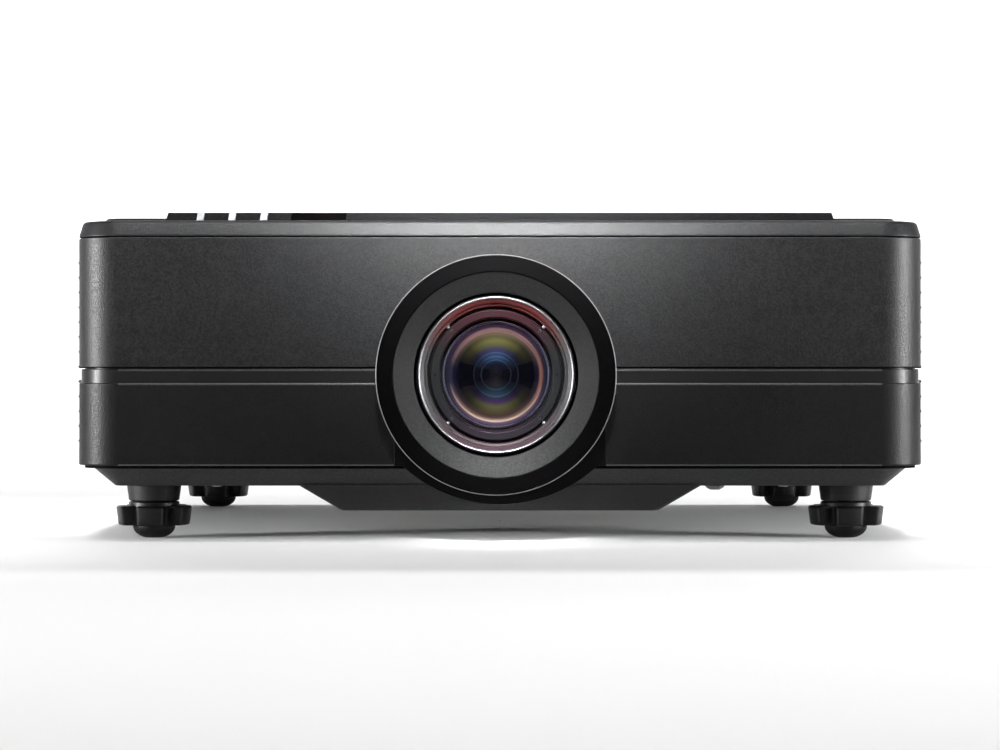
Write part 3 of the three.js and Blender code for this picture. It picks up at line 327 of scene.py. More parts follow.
def inner_glass_material():
    """Deep glass with painted reflections: a black core, with rings of painted reflection colour that are strongest
    above and below it, and a painted peach glint on the right.
    """
    shader = Shader("inner_glass_painted_reflections", (100, 100, 200), 0.25, specular=0.03, coat=0.03, coat_roughness=0.05)
    ramp, calc, mix = shader.ramp, shader.math, shader.mix
    radius, up, right = by_radius(shader)
    share = calc("DIVIDE", radius, 0.0285)
    above = ramp(share, [
        (0, (30, 30, 45)), (0.2, (15, 20, 50)), (0.27, (30, 60, 150)), (0.288, (180, 300, 500)),
        (0.305, (40, 90, 250)), (0.345, (100, 220, 520)), (0.36, (200, 330, 620)), (0.378, (60, 140, 380)),
        (0.415, (80, 140, 350)), (0.43, (220, 340, 600)), (0.446, (80, 110, 300)), (0.51, (140, 120, 260)),
        (0.58, (280, 280, 110)), (0.66, (420, 400, 120)), (0.74, (260, 230, 90)), (0.82, (400, 260, 190)),
        (0.862, (900, 520, 480)), (0.89, (560, 320, 380)), (0.93, (170, 100, 170)), (1, (110, 80, 150)),
    ])
    below = ramp(share, [
        (0, (30, 30, 40)), (0.22, (50, 50, 65)), (0.27, (30, 50, 80)), (0.288, (120, 200, 250)),
        (0.305, (40, 70, 120)), (0.4, (60, 140, 220)), (0.428, (150, 240, 330)), (0.446, (60, 70, 160)),
        (0.53, (140, 70, 240)), (0.62, (270, 270, 100)), (0.71, (200, 180, 90)), (0.8, (160, 90, 80)),
        (0.87, (450, 280, 230)), (0.9, (1900, 1300, 1050)), (0.925, (300, 220, 300)), (1, (80, 65, 160)),
    ])
    beside = ramp(share, [
        (0, (12, 12, 20)), (0.272, (6, 6, 14)), (0.288, (60, 70, 110)), (0.303, (6, 6, 14)),
        (0.416, (6, 6, 14)), (0.43, (50, 60, 100)), (0.444, (4, 4, 10)), (0.72, (4, 4, 12)),
        (0.82, (24, 26, 70)), (0.87, (80, 82, 160)), (0.93, (50, 52, 90)), (1, (40, 42, 80)),
    ])
    steep = calc("ABSOLUTE", up)
    narrow = ramp(steep, [(0.3, 0), (0.7, 0.2), (0.9, 0.65), (1, 1)])
    wide = ramp(steep, [(0.15, 0), (0.85, 1)])
    use_wide = ramp(share, [(0.74, 0), (0.84, 1)])
    spread = mix(use_wide, narrow, wide)
    is_above = ramp(calc("MULTIPLY_ADD", up, 0.5, 0.5), [(0.49, 0), (0.51, 1)])
    blend = mix(spread, beside, mix(is_above, below, above))
    # A painted peach glint on the right side of one ring.
    painted_glint = calc("POWER", calc("MAXIMUM", right, 0), 5)
    band = ramp(share, [(0.82, 0), (0.875, 1), (0.905, 0.3), (0.93, 0)])
    shader.color(mix(calc("MULTIPLY", painted_glint, band), blend, (800, 340, 220)))
    shader.bump(shader.noise(60, 2), 0.02, 0.05)
    return shader.material


def front_glass_material():
    """Clear front glass: almost unseen from the front, and glossier towards its edge or from the side."""
    shader = Shader("front_coated_glass", (4500, 3000, 4200), 0.08, metallic=1)
    _radius, up, _right = by_radius(shader)
    height = shader.math("MULTIPLY_ADD", up, 0.5, 0.5)
    shader.color(shader.ramp(height, [(0, (4500, 2800, 5000)), (0.5, (3000, 3200, 5000)), (1, (6000, 2500, 2500))]))
    fresnel = shader.node("LayerWeight", {"Blend": 0.33})
    veil = shader.math("MULTIPLY_ADD", fresnel.outputs["Fresnel"], 0.6, -0.03)
    shader.link(shader.math("MAXIMUM", veil, 0), shader.surface.inputs["Alpha"])
    return shader.material


def lens_part(name, dark, light, above, below, roughness=0.4, rings=None):
    """A part behind the front glass. Painted reflections of the coated glass tint it red above the axis and violet
    below.
    """
    shader = Shader(name, light, roughness, specular=0.1)
    radius, up, _right = by_radius(shader)
    base = shader.ramp(shader.noise(2400, 2), [(0.35, dark), (0.65, light)])
    if rings:
        base = shader.ramp(shader.math("MULTIPLY", radius, 30), rings)
    over = shader.ramp(up, [(0.3, 0), (0.88, 1)])
    under = shader.ramp(shader.math("MULTIPLY", up, -1), [(0.4, 0), (0.92, 1)])
    shader.color(shader.mix(under, shader.mix(over, base, above), below))
    shader.bump(shader.noise(2400, 2), 0.15, 0.01)
    return shader.material


# The red above and violet below on these parts are painted reflections.
CONE = lens_part("rim_cone", (200, 200, 210), (340, 340, 350), (600, 135, 130), (220, 135, 165))
RETAINER = lens_part("retainer_paint", (50, 58, 65), (80, 90, 98), (150, 36, 56), (68, 46, 78))
PIT = lens_part("flocked_black", (7, 7, 7), (11, 11, 12), (88, 17, 17), (44, 17, 33), 0.7)
# The glass seat's bright lavender ring is a painted highlight.
SEAT = lens_part("glass_seat", (50, 50, 160), (100, 100, 260), (120, 80, 140), (120, 90, 180), 0.3, [
    (0.84, (40, 38, 80)), (0.859, (50, 48, 90)), (0.866, (560, 560, 880)), (0.873, (560, 560, 1000)),
    (0.879, (50, 50, 140)), (0.94, (30, 30, 100)),
])
DISH = dish_material()
INNER_GLASS = inner_glass_material()
FRONT_GLASS = front_glass_material()

# ---- making pieces


def add_piece(name, shells, material, body, replaces=(), smooth_deg=SMOOTH_DEG):
    """One object from a list of (vertices in mm, faces), riding on a CAD body."""
    vertices, faces = [], []
    for shell_vertices, shell_faces in shells:
        first = len(vertices)
        vertices += [Vector(v) * MM for v in shell_vertices]
        faces += [[first + i for i in face] for face in shell_faces]
    mesh = bpy.data.meshes.new(name)
    mesh.from_pydata(vertices, [], faces)
    made = bmesh.new()
    made.from_mesh(mesh)
    bmesh.ops.remove_doubles(made, verts=made.verts, dist=SAME_POINT)
    bmesh.ops.recalc_face_normals(made, faces=made.faces)
    made.to_mesh(mesh)
    made.free()
    mesh.shade_smooth()
    mesh.set_sharp_from_angle(angle=math.radians(smooth_deg))
    mesh.materials.append(material)
    piece = bpy.data.objects.new(name, mesh)
    bpy.context.scene.collection.objects.link(piece)
    weighted = piece.modifiers.new("flat_faces", "WEIGHTED_NORMAL")
    weighted.keep_sharp = True
    if body:
        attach(piece, body)
    if replaces:
        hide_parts(*replaces)
    return piece


def fitting(name, shells, material, smooth_deg=SMOOTH_DEG):
    """A small piece fixed to the casing, which takes the slot of its material."""
    add_piece(name, shells, material, "casing", smooth_deg=smooth_deg)


def paint(piece, material, test):
    """Gives one more material to the faces whose centre, in millimetres, passes a test."""
    piece.data.materials.append(material)
    for face in piece.data.polygons:
        if test(face.center / MM):
            face.material_index = len(piece.data.materials) - 1


def carve(piece, cutters):
    """Cuts shells out of a piece."""
    for shell in cutters:
        tool = add_piece("cutter", [shell], CASING, None)
        tool.modifiers.clear()
        cut = piece.modifiers.new("cut", "BOOLEAN")
        cut.operation = "DIFFERENCE"
        cut.solver = "EXACT"
        cut.object = tool
        piece.modifiers.move(len(piece.modifiers) - 1, 0)
        graph = bpy.context.evaluated_depsgraph_get()
        weighted = piece.modifiers["flat_faces"]
        weighted.show_viewport = False
        graph.update()
        carved = bpy.data.meshes.new_from_object(piece.evaluated_get(graph))
        weighted.show_viewport = True
        piece.modifiers.remove(cut)
        piece.data = carved
        bpy.data.objects.remove(tool)
    piece.data.set_sharp_from_angle(angle=math.radians(SMOOTH_DEG))


def rounded(points, closed=True, steps=4):
    """Points are (a, b) or (a, b, radius). Each corner with a radius becomes a short curve."""
    out = []
    for i, point in enumerate(points):
        here = Vector(point[:2])
        at_end = not closed and i in (0, len(points) - 1)
        if len(point) < 3 or at_end:
            out.append(here)
            continue
        before = Vector(points[i - 1][:2]) - here
        after = Vector(points[(i + 1) % len(points)][:2]) - here
        start = here + before.normalized() * min(point[2], before.length * 0.49)
        end = here + after.normalized() * min(point[2], after.length * 0.49)
        for k in range(steps + 1):
            t = k / steps
            out.append(start.lerp(here, t).lerp(here.lerp(end, t), t))
    return out


def loft(loops, closed=False):
    """A shell through loops that have the same number of points. An open one gets two caps."""
    count = len(loops[0])
    vertices = [point for loop in loops for point in loop]
    pairs = list(zip(range(len(loops)), range(1, len(loops))))
    if closed:
        pairs.append((len(loops) - 1, 0))
    faces = [
        [a * count + i, a * count + (i + 1) % count, b * count + (i + 1) % count, b * count + i]
        for a, b in pairs
        for i in range(count)
    ]
    if not closed:
        faces.append(list(range(count)))
        faces.append(list(range((len(loops) - 1) * count, len(loops) * count)))
    return vertices, faces


def arc(x, z, radius, first, last, steps):
    """Points along part of a circle, with both ends."""
    angles = [first + (last - first) * k / steps for k in range(steps + 1)]
    return [(x + radius * math.cos(angle), z + radius * math.sin(angle)) for angle in angles]


def round_rect(x0, x1, y0, y1, radius, steps):
    """A rectangle with round corners, anticlockwise from its low right corner."""
    left, right, low, high = x0 + radius, x1 - radius, y0 + radius, y1 - radius
    points = []
    for quarter, (x, y) in enumerate(((right, low), (right, high), (left, high), (left, low))):
        points += arc(x, y, radius, (quarter - 1) * math.pi / 2, quarter * math.pi / 2, steps)
    return points


def casing_sweep(profile, closed=True):
    """Carries a profile of (inset, z) points round the casing's outline."""
    def outline(inset):
        x, radius = HALF_WIDTH - inset, max(CORNER - inset, 2)
        return round_rect(-x, x, FRONT + inset, REAR - inset, radius, 18)

    return loft([[(x, y, z) for x, y in outline(inset)] for inset, z in profile], closed)


def lathe(profile, x, z, segments=128):
    """Turns (radius, y) points about an axis along Y."""
    angles = [2 * math.pi * k / segments for k in range(segments)]
    return loft([
        [(x + r * math.cos(angle), y, z + r * math.sin(angle)) for r, y in profile] for angle in angles
    ], closed=True)


def lens_lathe(profile, segments=200):
    return lathe(profile, LENS_X, LENS_Z, segments)


def off_axis(point):
    return math.hypot(point.x - LENS_X, point.z - LENS_Z)


def plug(radius, y0, y1, x, z, segments, core=0.01):
    """A solid rod along Y, to cut with. It is hollow by a hair's width on its axis."""
    return lathe([(core, y0), (radius, y0), (radius, y1), (core, y1)], x, z, segments)


def lens_room(y0, y1):
    """A cutter for the casing's round opening, in which the lens shifts."""
    return plug(LENS_HOLE_R, y0, y1, 0, LENS_Z, 96)


def turn_up(profile, x, y, segments=64):
    """Turns (radius, z) points about an upright axis."""
    vertices, faces = lathe(profile, 0, 0, segments)
    return [(x + a, y + c, b) for a, b, c in vertices], faces


def shrink(points, inset):
    """An outline moved inwards by a small amount. Its points run anticlockwise."""
    if not inset:
        return [tuple(p) for p in points]
    out = []
    count = len(points)
    for i in range(count):
        here = Vector(points[i][:2])
        before = (here - Vector(points[i - 1][:2])).normalized()
        after = (Vector(points[(i + 1) % count][:2]) - here).normalized()
        normal = Vector((-(before.y + after.y), before.x + after.x))
        if normal.length < 1e-6:
            normal = Vector((-before.y, before.x))
        normal.normalize()
        cosine = max(normal.dot(Vector((-before.y, before.x))), 0.5)
        out.append(tuple(here + normal * (inset / cosine)))
    return out


def box_shell(low, high, edge=0.3):
    """A block with softened upright edges and top and bottom rims."""
    x0, y0, z0 = low
    x1, y1, z1 = high
    edge = min(edge, (x1 - x0) / 3, (y1 - y0) / 3, (z1 - z0) / 3)
    bevel = 0.3 * edge
    plan = round_rect(x0, x1, y0, y1, edge, 2)
    steps = (edge, z0), (bevel, z0 + bevel), (0, z0 + edge), (0, z1 - edge), (bevel, z1 - bevel), (edge, z1)
    return loft([[(x, y, z) for x, y in shrink(plan, inset)] for inset, z in steps])


def moved(shell, matrix):
    return [tuple(matrix @ Vector(v)) for v in shell[0]], shell[1]


def dress(name, material, width_mm):
    """A CAD node that stays. A modifier rounds its edges, and leaves its mesh alone."""
    node = NODES[name]
    if width_mm:
        node.data.shade_smooth()
        node.data.set_sharp_from_angle(angle=math.radians(35))
        edge = node.modifiers.new("edges", "BEVEL")
        edge.width = width_mm * MM
        edge.segments = 2
        edge.limit_method = "ANGLE"
        edge.angle_limit = math.radians(40)
        edge.harden_normals = True
    node.data.materials.clear()
    node.data.materials.append(material)


# ---- casing


def casing():
    """The lid, the walls above and below the waist strip, and the strip."""
    def walls(name, profile, material, node):
        return add_piece(name, [casing_sweep(rounded(profile))], material, "casing", [node])

    root, back = WALL + 0.2, WALL + 2.2
    lid = casing_sweep(rounded([
        (back, 175.2), (root, LID_LOW + 1.6), (root, LID_LOW, 0.3), (0.1, LID_LOW, 0.35), (0.15, LID_LOW + 1.2),
        (2.25, 177.5, 0.9), (3.6, 178.45, 0.7), (13.9, 178.5, 0.5), (15.8, DECK_Z - 0.1, 0.4), (16.8, DECK_Z),
    ], closed=False, steps=5), closed=False)
    add_piece("lid", [lid], LID, "casing", ["top_cover"])

    low, high = UPPER_Z
    upper = walls(
        "upper_walls", [(0, low, 0.7), (WALL, low), (WALL, high), (0, high, 0.5)], CASING, "upper_housing",
    )
    # Painted shade on the upper walls' bottom lip, inside the gap above the waist strip.
    paint(upper, GAP_PAINTED_SHADE, lambda centre: centre.z < UPPER_Z[0] + 0.6)

    low, high = LOWER_Z
    # The walls below the waist take the darker copy of the casing plastic: painted shade.
    lower = walls("lower_walls", [
        (0, low, 0.9), (WALL, low), (WALL, high), (0, high, 0.7), (0, high - 1.1),
    ], LOWER, "lower_housing")
    # Painted highlights on the bottom bevel and the top edge of the lower walls.
    paint(lower, PAINTED_EDGE_HIGHLIGHT, lambda centre: abs(centre.x) < EDGE_END and not (
        LOWER_Z[0] + 0.85 <= centre.z <= LOWER_Z[1] - 1.1
    ))
    # Painted shade on the lower walls' underside, inside the gap above the tray.
    paint(lower, GAP_PAINTED_SHADE, lambda centre: centre.z < LOWER_Z[0] + 0.02)

    low, high = WAIST_Z
    face, root, back = 1.2, WALL + 0.3, WALL + 1.3
    waist = walls("waist_strip", [
        (face, high - 1.4), (face, low + 0.8), (face, low + 0.1, 0.4), (root, low + 0.1), (root, low - 2),
        (back, low - 2), (back, high + 2), (root, high + 2), (root, high - 0.2), (face, high - 0.2, 0.5),
    ], WAIST, "waist_band")
    # A painted highlight on the waist strip's top edge.
    paint(waist, PAINTED_EDGE_HIGHLIGHT, lambda centre: (
        abs(centre.x) < EDGE_END and WAIST_Z[1] - 1.35 < centre.z < WAIST_Z[1]
    ))
    # Painted shade on the waist strip's lower faces, inside its gap.
    paint(waist, GAP_PAINTED_SHADE, lambda centre: centre.z < WAIST_Z[0] + 0.75)

    low, high = node_box("rear_io_panel")
    io_window = box_shell((low.x - GAP, REAR - 5, low.z - GAP), (high.x + GAP, REAR + 2, high.z + GAP), 0.5)
    low, high = node_box("lens_surround_panel")
    surround_window = box_shell((low.x - GAP, FRONT - 2, 10), (high.x + GAP, FRONT + 5, 100), 0.05)
    vents = [vent_window(side) for side in VENTS]
    lens_hole = lens_room(FRONT - 2, FRONT + 12)
    carve(upper, [lens_hole, *vents, io_window])
    carve(waist, [lens_hole, vent_window(-1, GAP + 0.15)])
    filter_frame()
    carve(lower, [surround_window, *vents])


def filter_frame():
    """Two uprights and a rail that join the strip behind the left wall, round the filter's opening."""
    low, high = node_box("filter_cover")
    bar = 3.4
    near, far = -HALF_WIDTH + WALL + 1.4, -HALF_WIDTH + WALL + 3.3
    foot_z = LOWER_Z[0] + 0.5
    rail = box_shell((near, low.y - bar, foot_z), (far, high.y + bar, foot_z + bar))
    uprights = [
        box_shell((near, y, foot_z), (far, y + bar, WAIST_Z[1] - 0.3)) for y in (low.y - GAP - bar, high.y + GAP)
    ]
    add_piece("filter_frame", [rail, *uprights], WAIST, "casing")


def vent_window(side, room=GAP):
    """A cutter for one side's louvred panel."""
    low, high = node_box(VENTS[side][1])
    x0, x1 = sorted((side * (HALF_WIDTH - 6), side * (HALF_WIDTH + 3)))
    return box_shell((x0, low.y - room, low.z - room), (x1, high.y + room, high.z + room), 0.4)


def surround():
    """The panel under the lens: a plate between two seams, whose lower edge is a round chin."""
    half = node_box("lens_surround_panel")[1].x
    corner_z, chin_z, chin_r = 42.75, 100.3, 79
    side_x = math.sqrt(chin_r ** 2 - (chin_z - corner_z) ** 2)
    ends = [math.atan2(corner_z - chin_z, x) for x in (-side_x, side_x)]
    start = math.acos(half / LENS_HOLE_R)
    points = [
        (-half, corner_z), *arc(0, chin_z, chin_r, *ends, 64), (half, corner_z),
        *arc(0, LENS_Z, LENS_HOLE_R, -start, start - math.pi, 64),
    ]
    plate = loft([
        [(x, FRONT + depth, z) for x, z in shrink(points, inset)]
        for inset, depth in ((0.25, 0.02), (0.08, 0.1), (0, 0.3), (0, WALL))
    ])
    inner, outer, near, far = chin_r - 4, chin_r - 0.05, FRONT + 2, FRONT + 15.8
    vertices, faces = lathe([(inner, near), (outer, near), (outer, far), (inner, far)], 0, chin_z, 160)
    keep = [i for i, place in enumerate(vertices) if place[2] < corner_z - 0.5]
    index = {old: kept for kept, old in enumerate(keep)}
    rim = [vertices[i] for i in keep], [[index[i] for i in face] for face in faces if all(i in index for i in face)]
    add_piece("lens_surround", [plate, rim], CHIN, "casing", ["lens_surround_panel"])


def bottom():
    """The tray, the belly below it and a boss for each foot."""
    tray = casing_sweep(rounded([
        (60, TRAY_BOTTOM + 2.5), (22.4, TRAY_BOTTOM + 2.5), (10.8, TRAY_TOP), (7.9, TRAY_TOP - 0.1, 0.3),
        (20.4, TRAY_BOTTOM - 0.3, 0.9), (60, TRAY_BOTTOM - 0.4),
    ], closed=False), closed=False)
    belly = loft([
        [(x, y, z) for x, y in round_rect(-half, half, FRONT + 18.6 + front, rear, 4, 6)]
        for half, front, rear, z in (
            (113.4, 0.2, 94.8, TRAY_BOTTOM + 0.2), (112.6, 0.8, 94.2, TRAY_BOTTOM - 0.4),
            (90.6, 4.6, 70.8, BELLY_Z + 0.9), (89.2, 5, 69.6, BELLY_Z + 0.3), (87.6, 6.4, 68.2, BELLY_Z),
        )
    ])
    boss = rounded([
        (5, 22.4), (5, 21.2), (13.9, 21.15, 0.3), (14.35, 21.6), (15.6, TRAY_BOTTOM - 0.6, 0.5),
        (17.2, TRAY_BOTTOM + 0.5), (5, TRAY_BOTTOM + 0.5),
    ])
    bosses = [turn_up(boss, place.x, place.y) for place in FEET.values()]
    base = add_piece("base", [tray, belly, *bosses], TRAY, "casing", ["bottom_cover"])
    # Painted shade on the underside faces.
    paint(base, BELLY, lambda centre: centre.z < TRAY_BOTTOM - 0.5)
    # Painted shade on the tray's top, inside the gap under the walls.
    paint(base, GAP_PAINTED_SHADE, lambda centre: centre.z > TRAY_TOP - 0.45)
    carve(base, [lens_room(FRONT - 1, FRONT + 24)])

    lip, top = BELLY_Z - 0.28, BELLY_Z + 2
    insert = rounded([(2.1, top), (2.1, lip, 0.1), (4.4, lip, 0.2), (4.4, top)])
    inserts = [turn_up(insert, x, y, 32) for x in (-62, 62) for y in (-175, -60, 45)]
    fitting("ceiling_bracket_inserts", inserts, STEEL)
    z, r = TRAY_BOTTOM + 0.05, 3.2
    screw = rounded([
        (0.01, z - 0.55), (r * 0.42, z - 0.55), (r * 0.42, z - 1.35, 0.1), (r * 0.8, z - 1.35, 0.5),
        (r, z - 0.5, 0.3), (r, z + 0.5), (0.01, z + 0.5),
    ])
    places = ((-160, -196), (160, -196), (-160, 216), (0, 216), (160, 216), (-205, 10), (205, 10))
    fitting("base_screws", [turn_up(screw, x, y, 24) for x, y in places], STEEL)


def grille(side):
    """One side's louvred panel: a frame, ribs with rounded tips, and slats behind them."""
    name, node, body = VENTS[side]
    low, high = node_box(node)
    y0, y1, z0, z1 = low.y, high.y, low.z, high.z
    tip = max(abs(low.x), abs(high.x))
    inner, outer = HALF_WIDTH - 0.9, HALF_WIDTH + 0.9
    rib_count, rib_low, rib_pitch = 13, 55.1, 8.5
    shells = []

    def bar(x0, x1, ya, yb, za, zb, edge):
        a, b = (x0, x1) if side > 0 else (-x1, -x0)
        shells.append(box_shell((a, ya, za), (b, yb, zb), edge))

    bar(inner, outer, y0, y0 + 5, z0, z1, 0.6)
    bar(inner, outer, y1 - 5, y1, z0, z1, 0.6)
    bar(inner, outer, y0, y1, z0, z0 + 3.2, 0.6)
    bar(inner, outer, y0, y1, z1 - 3.2, z1, 0.6)
    for column in range(1, 4):
        y = y0 + (y1 - y0) * column / 4
        bar(inner, outer - 0.2, y - 2, y + 2, z0 + 1, z1 - 1, 0.3)
    for row in range(rib_count):
        z = rib_low + row * rib_pitch
        shells.append(rib(side, outer - 1, tip, y0 + 0.8, y1 - 0.8, z))
        if row < rib_count - 1:
            slat_z = z + rib_pitch / 2
            bar(inner - 0.4, inner + 1.2, y0 + 2, y1 - 2, slat_z - 0.5, slat_z + 0.5, 0.2)
    add_piece(name, shells, CASING, body, [node])


def rib(side, root, tip, y0, y1, z):
    """A rib along Y with a rounded tip and rounded ends."""
    half = 1
    section = [(root, -half), *arc(tip - half, 0, half, -math.pi / 2, math.pi / 2, 8), (root, half)]
    ends = [(0, 0.3), (0.3, 0.66), (0.8, 0.9), (1.6, 1)]  # distance from an end, and share of the full section
    stations = [(y0 + d, share) for d, share in ends] + [(y1 - d, share) for d, share in reversed(ends)]
    return loft([
        [(side * (root + (x - root) * share), y, z + dz * (0.6 + 0.4 * share)) for x, dz in section]
        for y, share in stations
    ])


# ---- feet


def star(drop):
    """The knob's outline, drawn in by a drop: five lobes, one of them towards the front."""
    radius, valley, lobes, half_lobe = 21.6 - drop, 14.6 - drop * 0.6, 5, 0.33
    points = []
    for k in range(200):
        angle = 2 * math.pi * k / 200 - math.pi / 2
        phase = abs(((angle + math.pi / 2) * lobes / (2 * math.pi) + 0.5) % 1 - 0.5) * 2 * math.pi / lobes
        t = max((phase - half_lobe) / (math.pi / lobes - half_lobe), 0)
        r = radius + (valley - radius) * (t * t * (3 - 2 * t)) ** 0.8
        points.append((r * math.cos(angle), r * math.sin(angle)))
    return points


def foot(name):
    """The star knob with its collar, stud and spigot, and the rubber dome that stays still as the knob turns."""
    x, y, _z = FEET[name]
    top, low = 18.3, 7.25
    levels = (
        (top, 1.6), (top - 0.15, 0.8), (top - 0.6, 0.2), (top - 1.3, 0), (low + 3, 0.9), (low + 1, 1.2),
        (low + 0.3, 1.7), (low, 2.6),
    )
    knob = loft([[(x + a, y + b, z) for a, b in star(drop)] for z, drop in levels])
    collar = turn_up(rounded([
        (3.9, top - 0.5), (14.4, top - 0.5), (14.4, 20.3, 0.4), (13.4, 20.7, 0.2), (12, 20.75), (11.6, 20.6),
        (3.9, 20.6),
    ]), x, y)
    stud = turn_up([(0.01, 20.5), (3.9, 20.5), (3.9, 62), (0.01, 62)], x, y, 32)
    spigot = turn_up([(0.01, 3.3), (2.7, 3.3), (2.7, 9), (0.01, 9)], x, y, 24)
    shells = [knob, collar, stud, spigot]
    add_piece(name + "_star_knob", shells, KNOB, name + "_foot_knob", [name + "_knob"])
    dome = turn_up(rounded([
        (0.01, 3.1), (3, 3.1), (3, 7), (11.8, 7, 0.2), (12.1, 6.6), (11.9, 5.2), (11.2, 3.7), (10, 2.3), (8.2, 1.1),
        (6.4, 0.35), (5, 0.02), (0.01, 0),
    ]), x, y)
    add_piece(name + "_dome", [dome], RUBBER, name + "_foot_pad", [name + "_pad"], 50)


# ---- lens


def lens():
    """The trim ring round the lens, and the front group's cell, trims and two glasses."""
    def trim(name, profile, material, smooth_deg=30, segments=200):
        """A turned part inside the front cell."""
        shell = lens_lathe(profile, segments)
        return add_piece(name, [shell], material, "front_group", smooth_deg=smooth_deg)

    front = RING_LOW.y
    ring = add_piece("lens_trim_ring", [lens_lathe(rounded([
        (44.7, -221.8), (47.2, -221.8), (47.2, -232.25), (65.6, -232.25, 0.4), (65.8, front + 1.6),
        (65.2, front + 0.75, 0.15), (56.9, front + 0.3, 0.2), (56.4, front + 0.3, 0.2), (56, front + 1, 0.25),
        (45.9, front + 7.6, 0.4), (45, front + 8.4, 0.3), (44.7, front + 9.5),
    ]))], RING, "lens_unit", ["lens_ring"], 30)
    # The dish carries painted light: lighter below, darker at the sides.
    paint(ring, DISH, lambda centre: 45.2 < off_axis(centre) < 56 and centre.y < front + 9)
    # A painted highlight on the ring's outer rim.
    paint(ring, RING_RIM_HIGHLIGHT, lambda centre: off_axis(centre) > 65.25 and centre.y < front + 1.7)

    add_piece("polished_rim", [lens_lathe(rounded([
        (43.45, -237), (43.45, CELL_FRONT + 1.1, 0.5), (42.6, CELL_FRONT + 0.02, 0.5), (41.75, CELL_FRONT + 0.5, 0.4),
        (41.5, CELL_FRONT + 1.6), (41.5, -236.6), (37.6, -236.6), (37.6, -206.1), (28.05, -206.1), (28.05, -221.9),
        (32, -221.9), (32, -232), (41, -235.6),
    ]))], SILVER_RIM, "front_group", ["front_lens_cell"], 30)
    trim("rim_cone", rounded([
        (41.5, CELL_FRONT + 1.5), (40.9, CELL_FRONT + 1.9, 0.2), (39.6, -243.3, 0.2), (39.4, -242.5, 0.1),
        (39.2, -241.7, 0.1), (37.9, -241.4, 0.25), (37.7, -240.6), (37.7, -237.2), (41.5, -237.2),
    ]), CONE)
    trim("light_trap", [
        (37.7, -238.2), (37.7, -236.8), (28.6, -234), (28.6, -236.6), (31.4, -236.9), (31.4, -238.2),
    ], PIT, SMOOTH_DEG, 160)

    retainer = trim("glass_retainer", rounded([
        (36.1, -238.3), (36.1, -240.3, 0.25), (35.7, -240.75, 0.2), (31.9, -240.75, 0.25), (31.2, -240.1, 0.3),
        (31.2, -237.5), (35, -237.5),
    ]), RETAINER)
    diagonals = [math.pi / 4 + quarter * math.pi / 2 for quarter in range(4)]
    holes = []
    for diagonal in diagonals:
        holes.append(lens_bore(diagonal, 34, 1.25, -240.35))
        for step in (-0.157, 0.157):
            holes.append(lens_bore(diagonal + step, 34, 0.42, -239.6))
    for side in (0, math.pi):
        holes.append(lens_bore(side, 33.6, 0.8, -239.8))
    for place in (math.pi / 2 - 0.03, math.pi / 2 + 0.03, -math.pi / 2 - 0.03, -math.pi / 2 + 0.03):
        holes.append(lens_bore(place, 34.4, 0.28, -240.3))
    carve(retainer, holes)
    paint(retainer, PIT, lambda centre: centre.y > -240.6 and 32 < off_axis(centre) < 35.6)
    screws = [lens_screw(diagonal, 34, 1.05, -240.55) for diagonal in diagonals]
    add_piece("retainer_screws", screws, BARREL, "front_group")
    screws = [lens_screw(diagonal, 37.2, 0.95, -240.9) for diagonal in diagonals]
    add_piece("cell_screws", screws, ALLOY, "front_group")

    trim("glass_seat", rounded([
        (31.2, -236), (29.6, -236.3, 0.1), (29.5, -238.1, 0.2), (29, -238.55, 0.25), (28.5, -238.2, 0.2),
        (28.3, -235), (31.2, -235),
    ]), SEAT)
    # The inner glass carries painted reflections.
    add_piece("inner_glass", [lens_lathe(rounded([
        (0.01, -223.5), (28, -223.5), (28.4, -237.6, 0.3), (25.9, -236.2, 0.4), (25, -236.35, 0.3),
        (24.2, -235.9, 0.3), (22, -236.15), (19, -236.6), (15, -237.1), (10, -237.5), (5, -237.75), (0.01, -237.85),
    ]))], INNER_GLASS, "front_group", ["inner_lens_element"], 60)

    glass_r, sag, thickness = 39.3, 2.5, 0.9
    face = [(max(glass_r * k / 12, 0.01), -245.4 + sag * (k / 12) ** 2) for k in range(13)]
    back = [(r, y + thickness) for r, y in reversed(face)]
    add_piece(
        "front_glass", [lens_lathe(face + back, 160)], FRONT_GLASS, "front_group", ["front_lens_element"],
        60,
    )


def round_axis(angle, r):
    """The place at an angle and a distance from the lens axis."""
    return LENS_X + r * math.cos(angle), LENS_Z + r * math.sin(angle)


def lens_bore(angle, r, hole_r, floor_y):
    """A cutter for a round hole in the retaining ring."""
    return plug(hole_r, floor_y, -243, *round_axis(angle, r), 24, 0.005)


def lens_screw(angle, r, head_r, y):
    """A small domed screw head with a recess."""
    return lathe(rounded([
        (0.005, y + 0.35), (head_r * 0.4, y + 0.35), (head_r * 0.45, y, 0.05), (head_r * 0.8, y + 0.08, 0.1),
        (head_r, y + 0.35, 0.1), (head_r, y + 1.2), (0.005, y + 1.2),
    ]), *round_axis(angle, r), 24)


# ---- rear panel

IO_FACE = 248.5  # outer face of the connector plate
SOCKET_FACE = IO_FACE + 1
IO_DEEP = 241.6  # bottom of the sockets
ROCKER_Z = 145
VIDEO_X = (105, 82, 59)
UPPER_ROW_Z = 146
LOWER_ROW_Z = 117
USB_X = 36
SERIAL_X = (96, 54)
JACK_X = (24, 6, -12, -30)
PORT_X = (9.2, -9.2)


def rect(x, z, half_width, half_height, radius):
    """A rounded rectangle of (x, z) points."""
    return round_rect(x - half_width, x + half_width, z - half_height, z + half_height, radius, 4)


def ring_of(x, z, radius, count, first=0):
    return arc(x, z, radius, first, first + 2 * math.pi, count)[:-1]


def along_y(sections):
    """A closed tube through outlines of (x, z) points, each at its own y."""
    return loft([[(x, y, z) for x, z in points] for points, y in sections], closed=True)


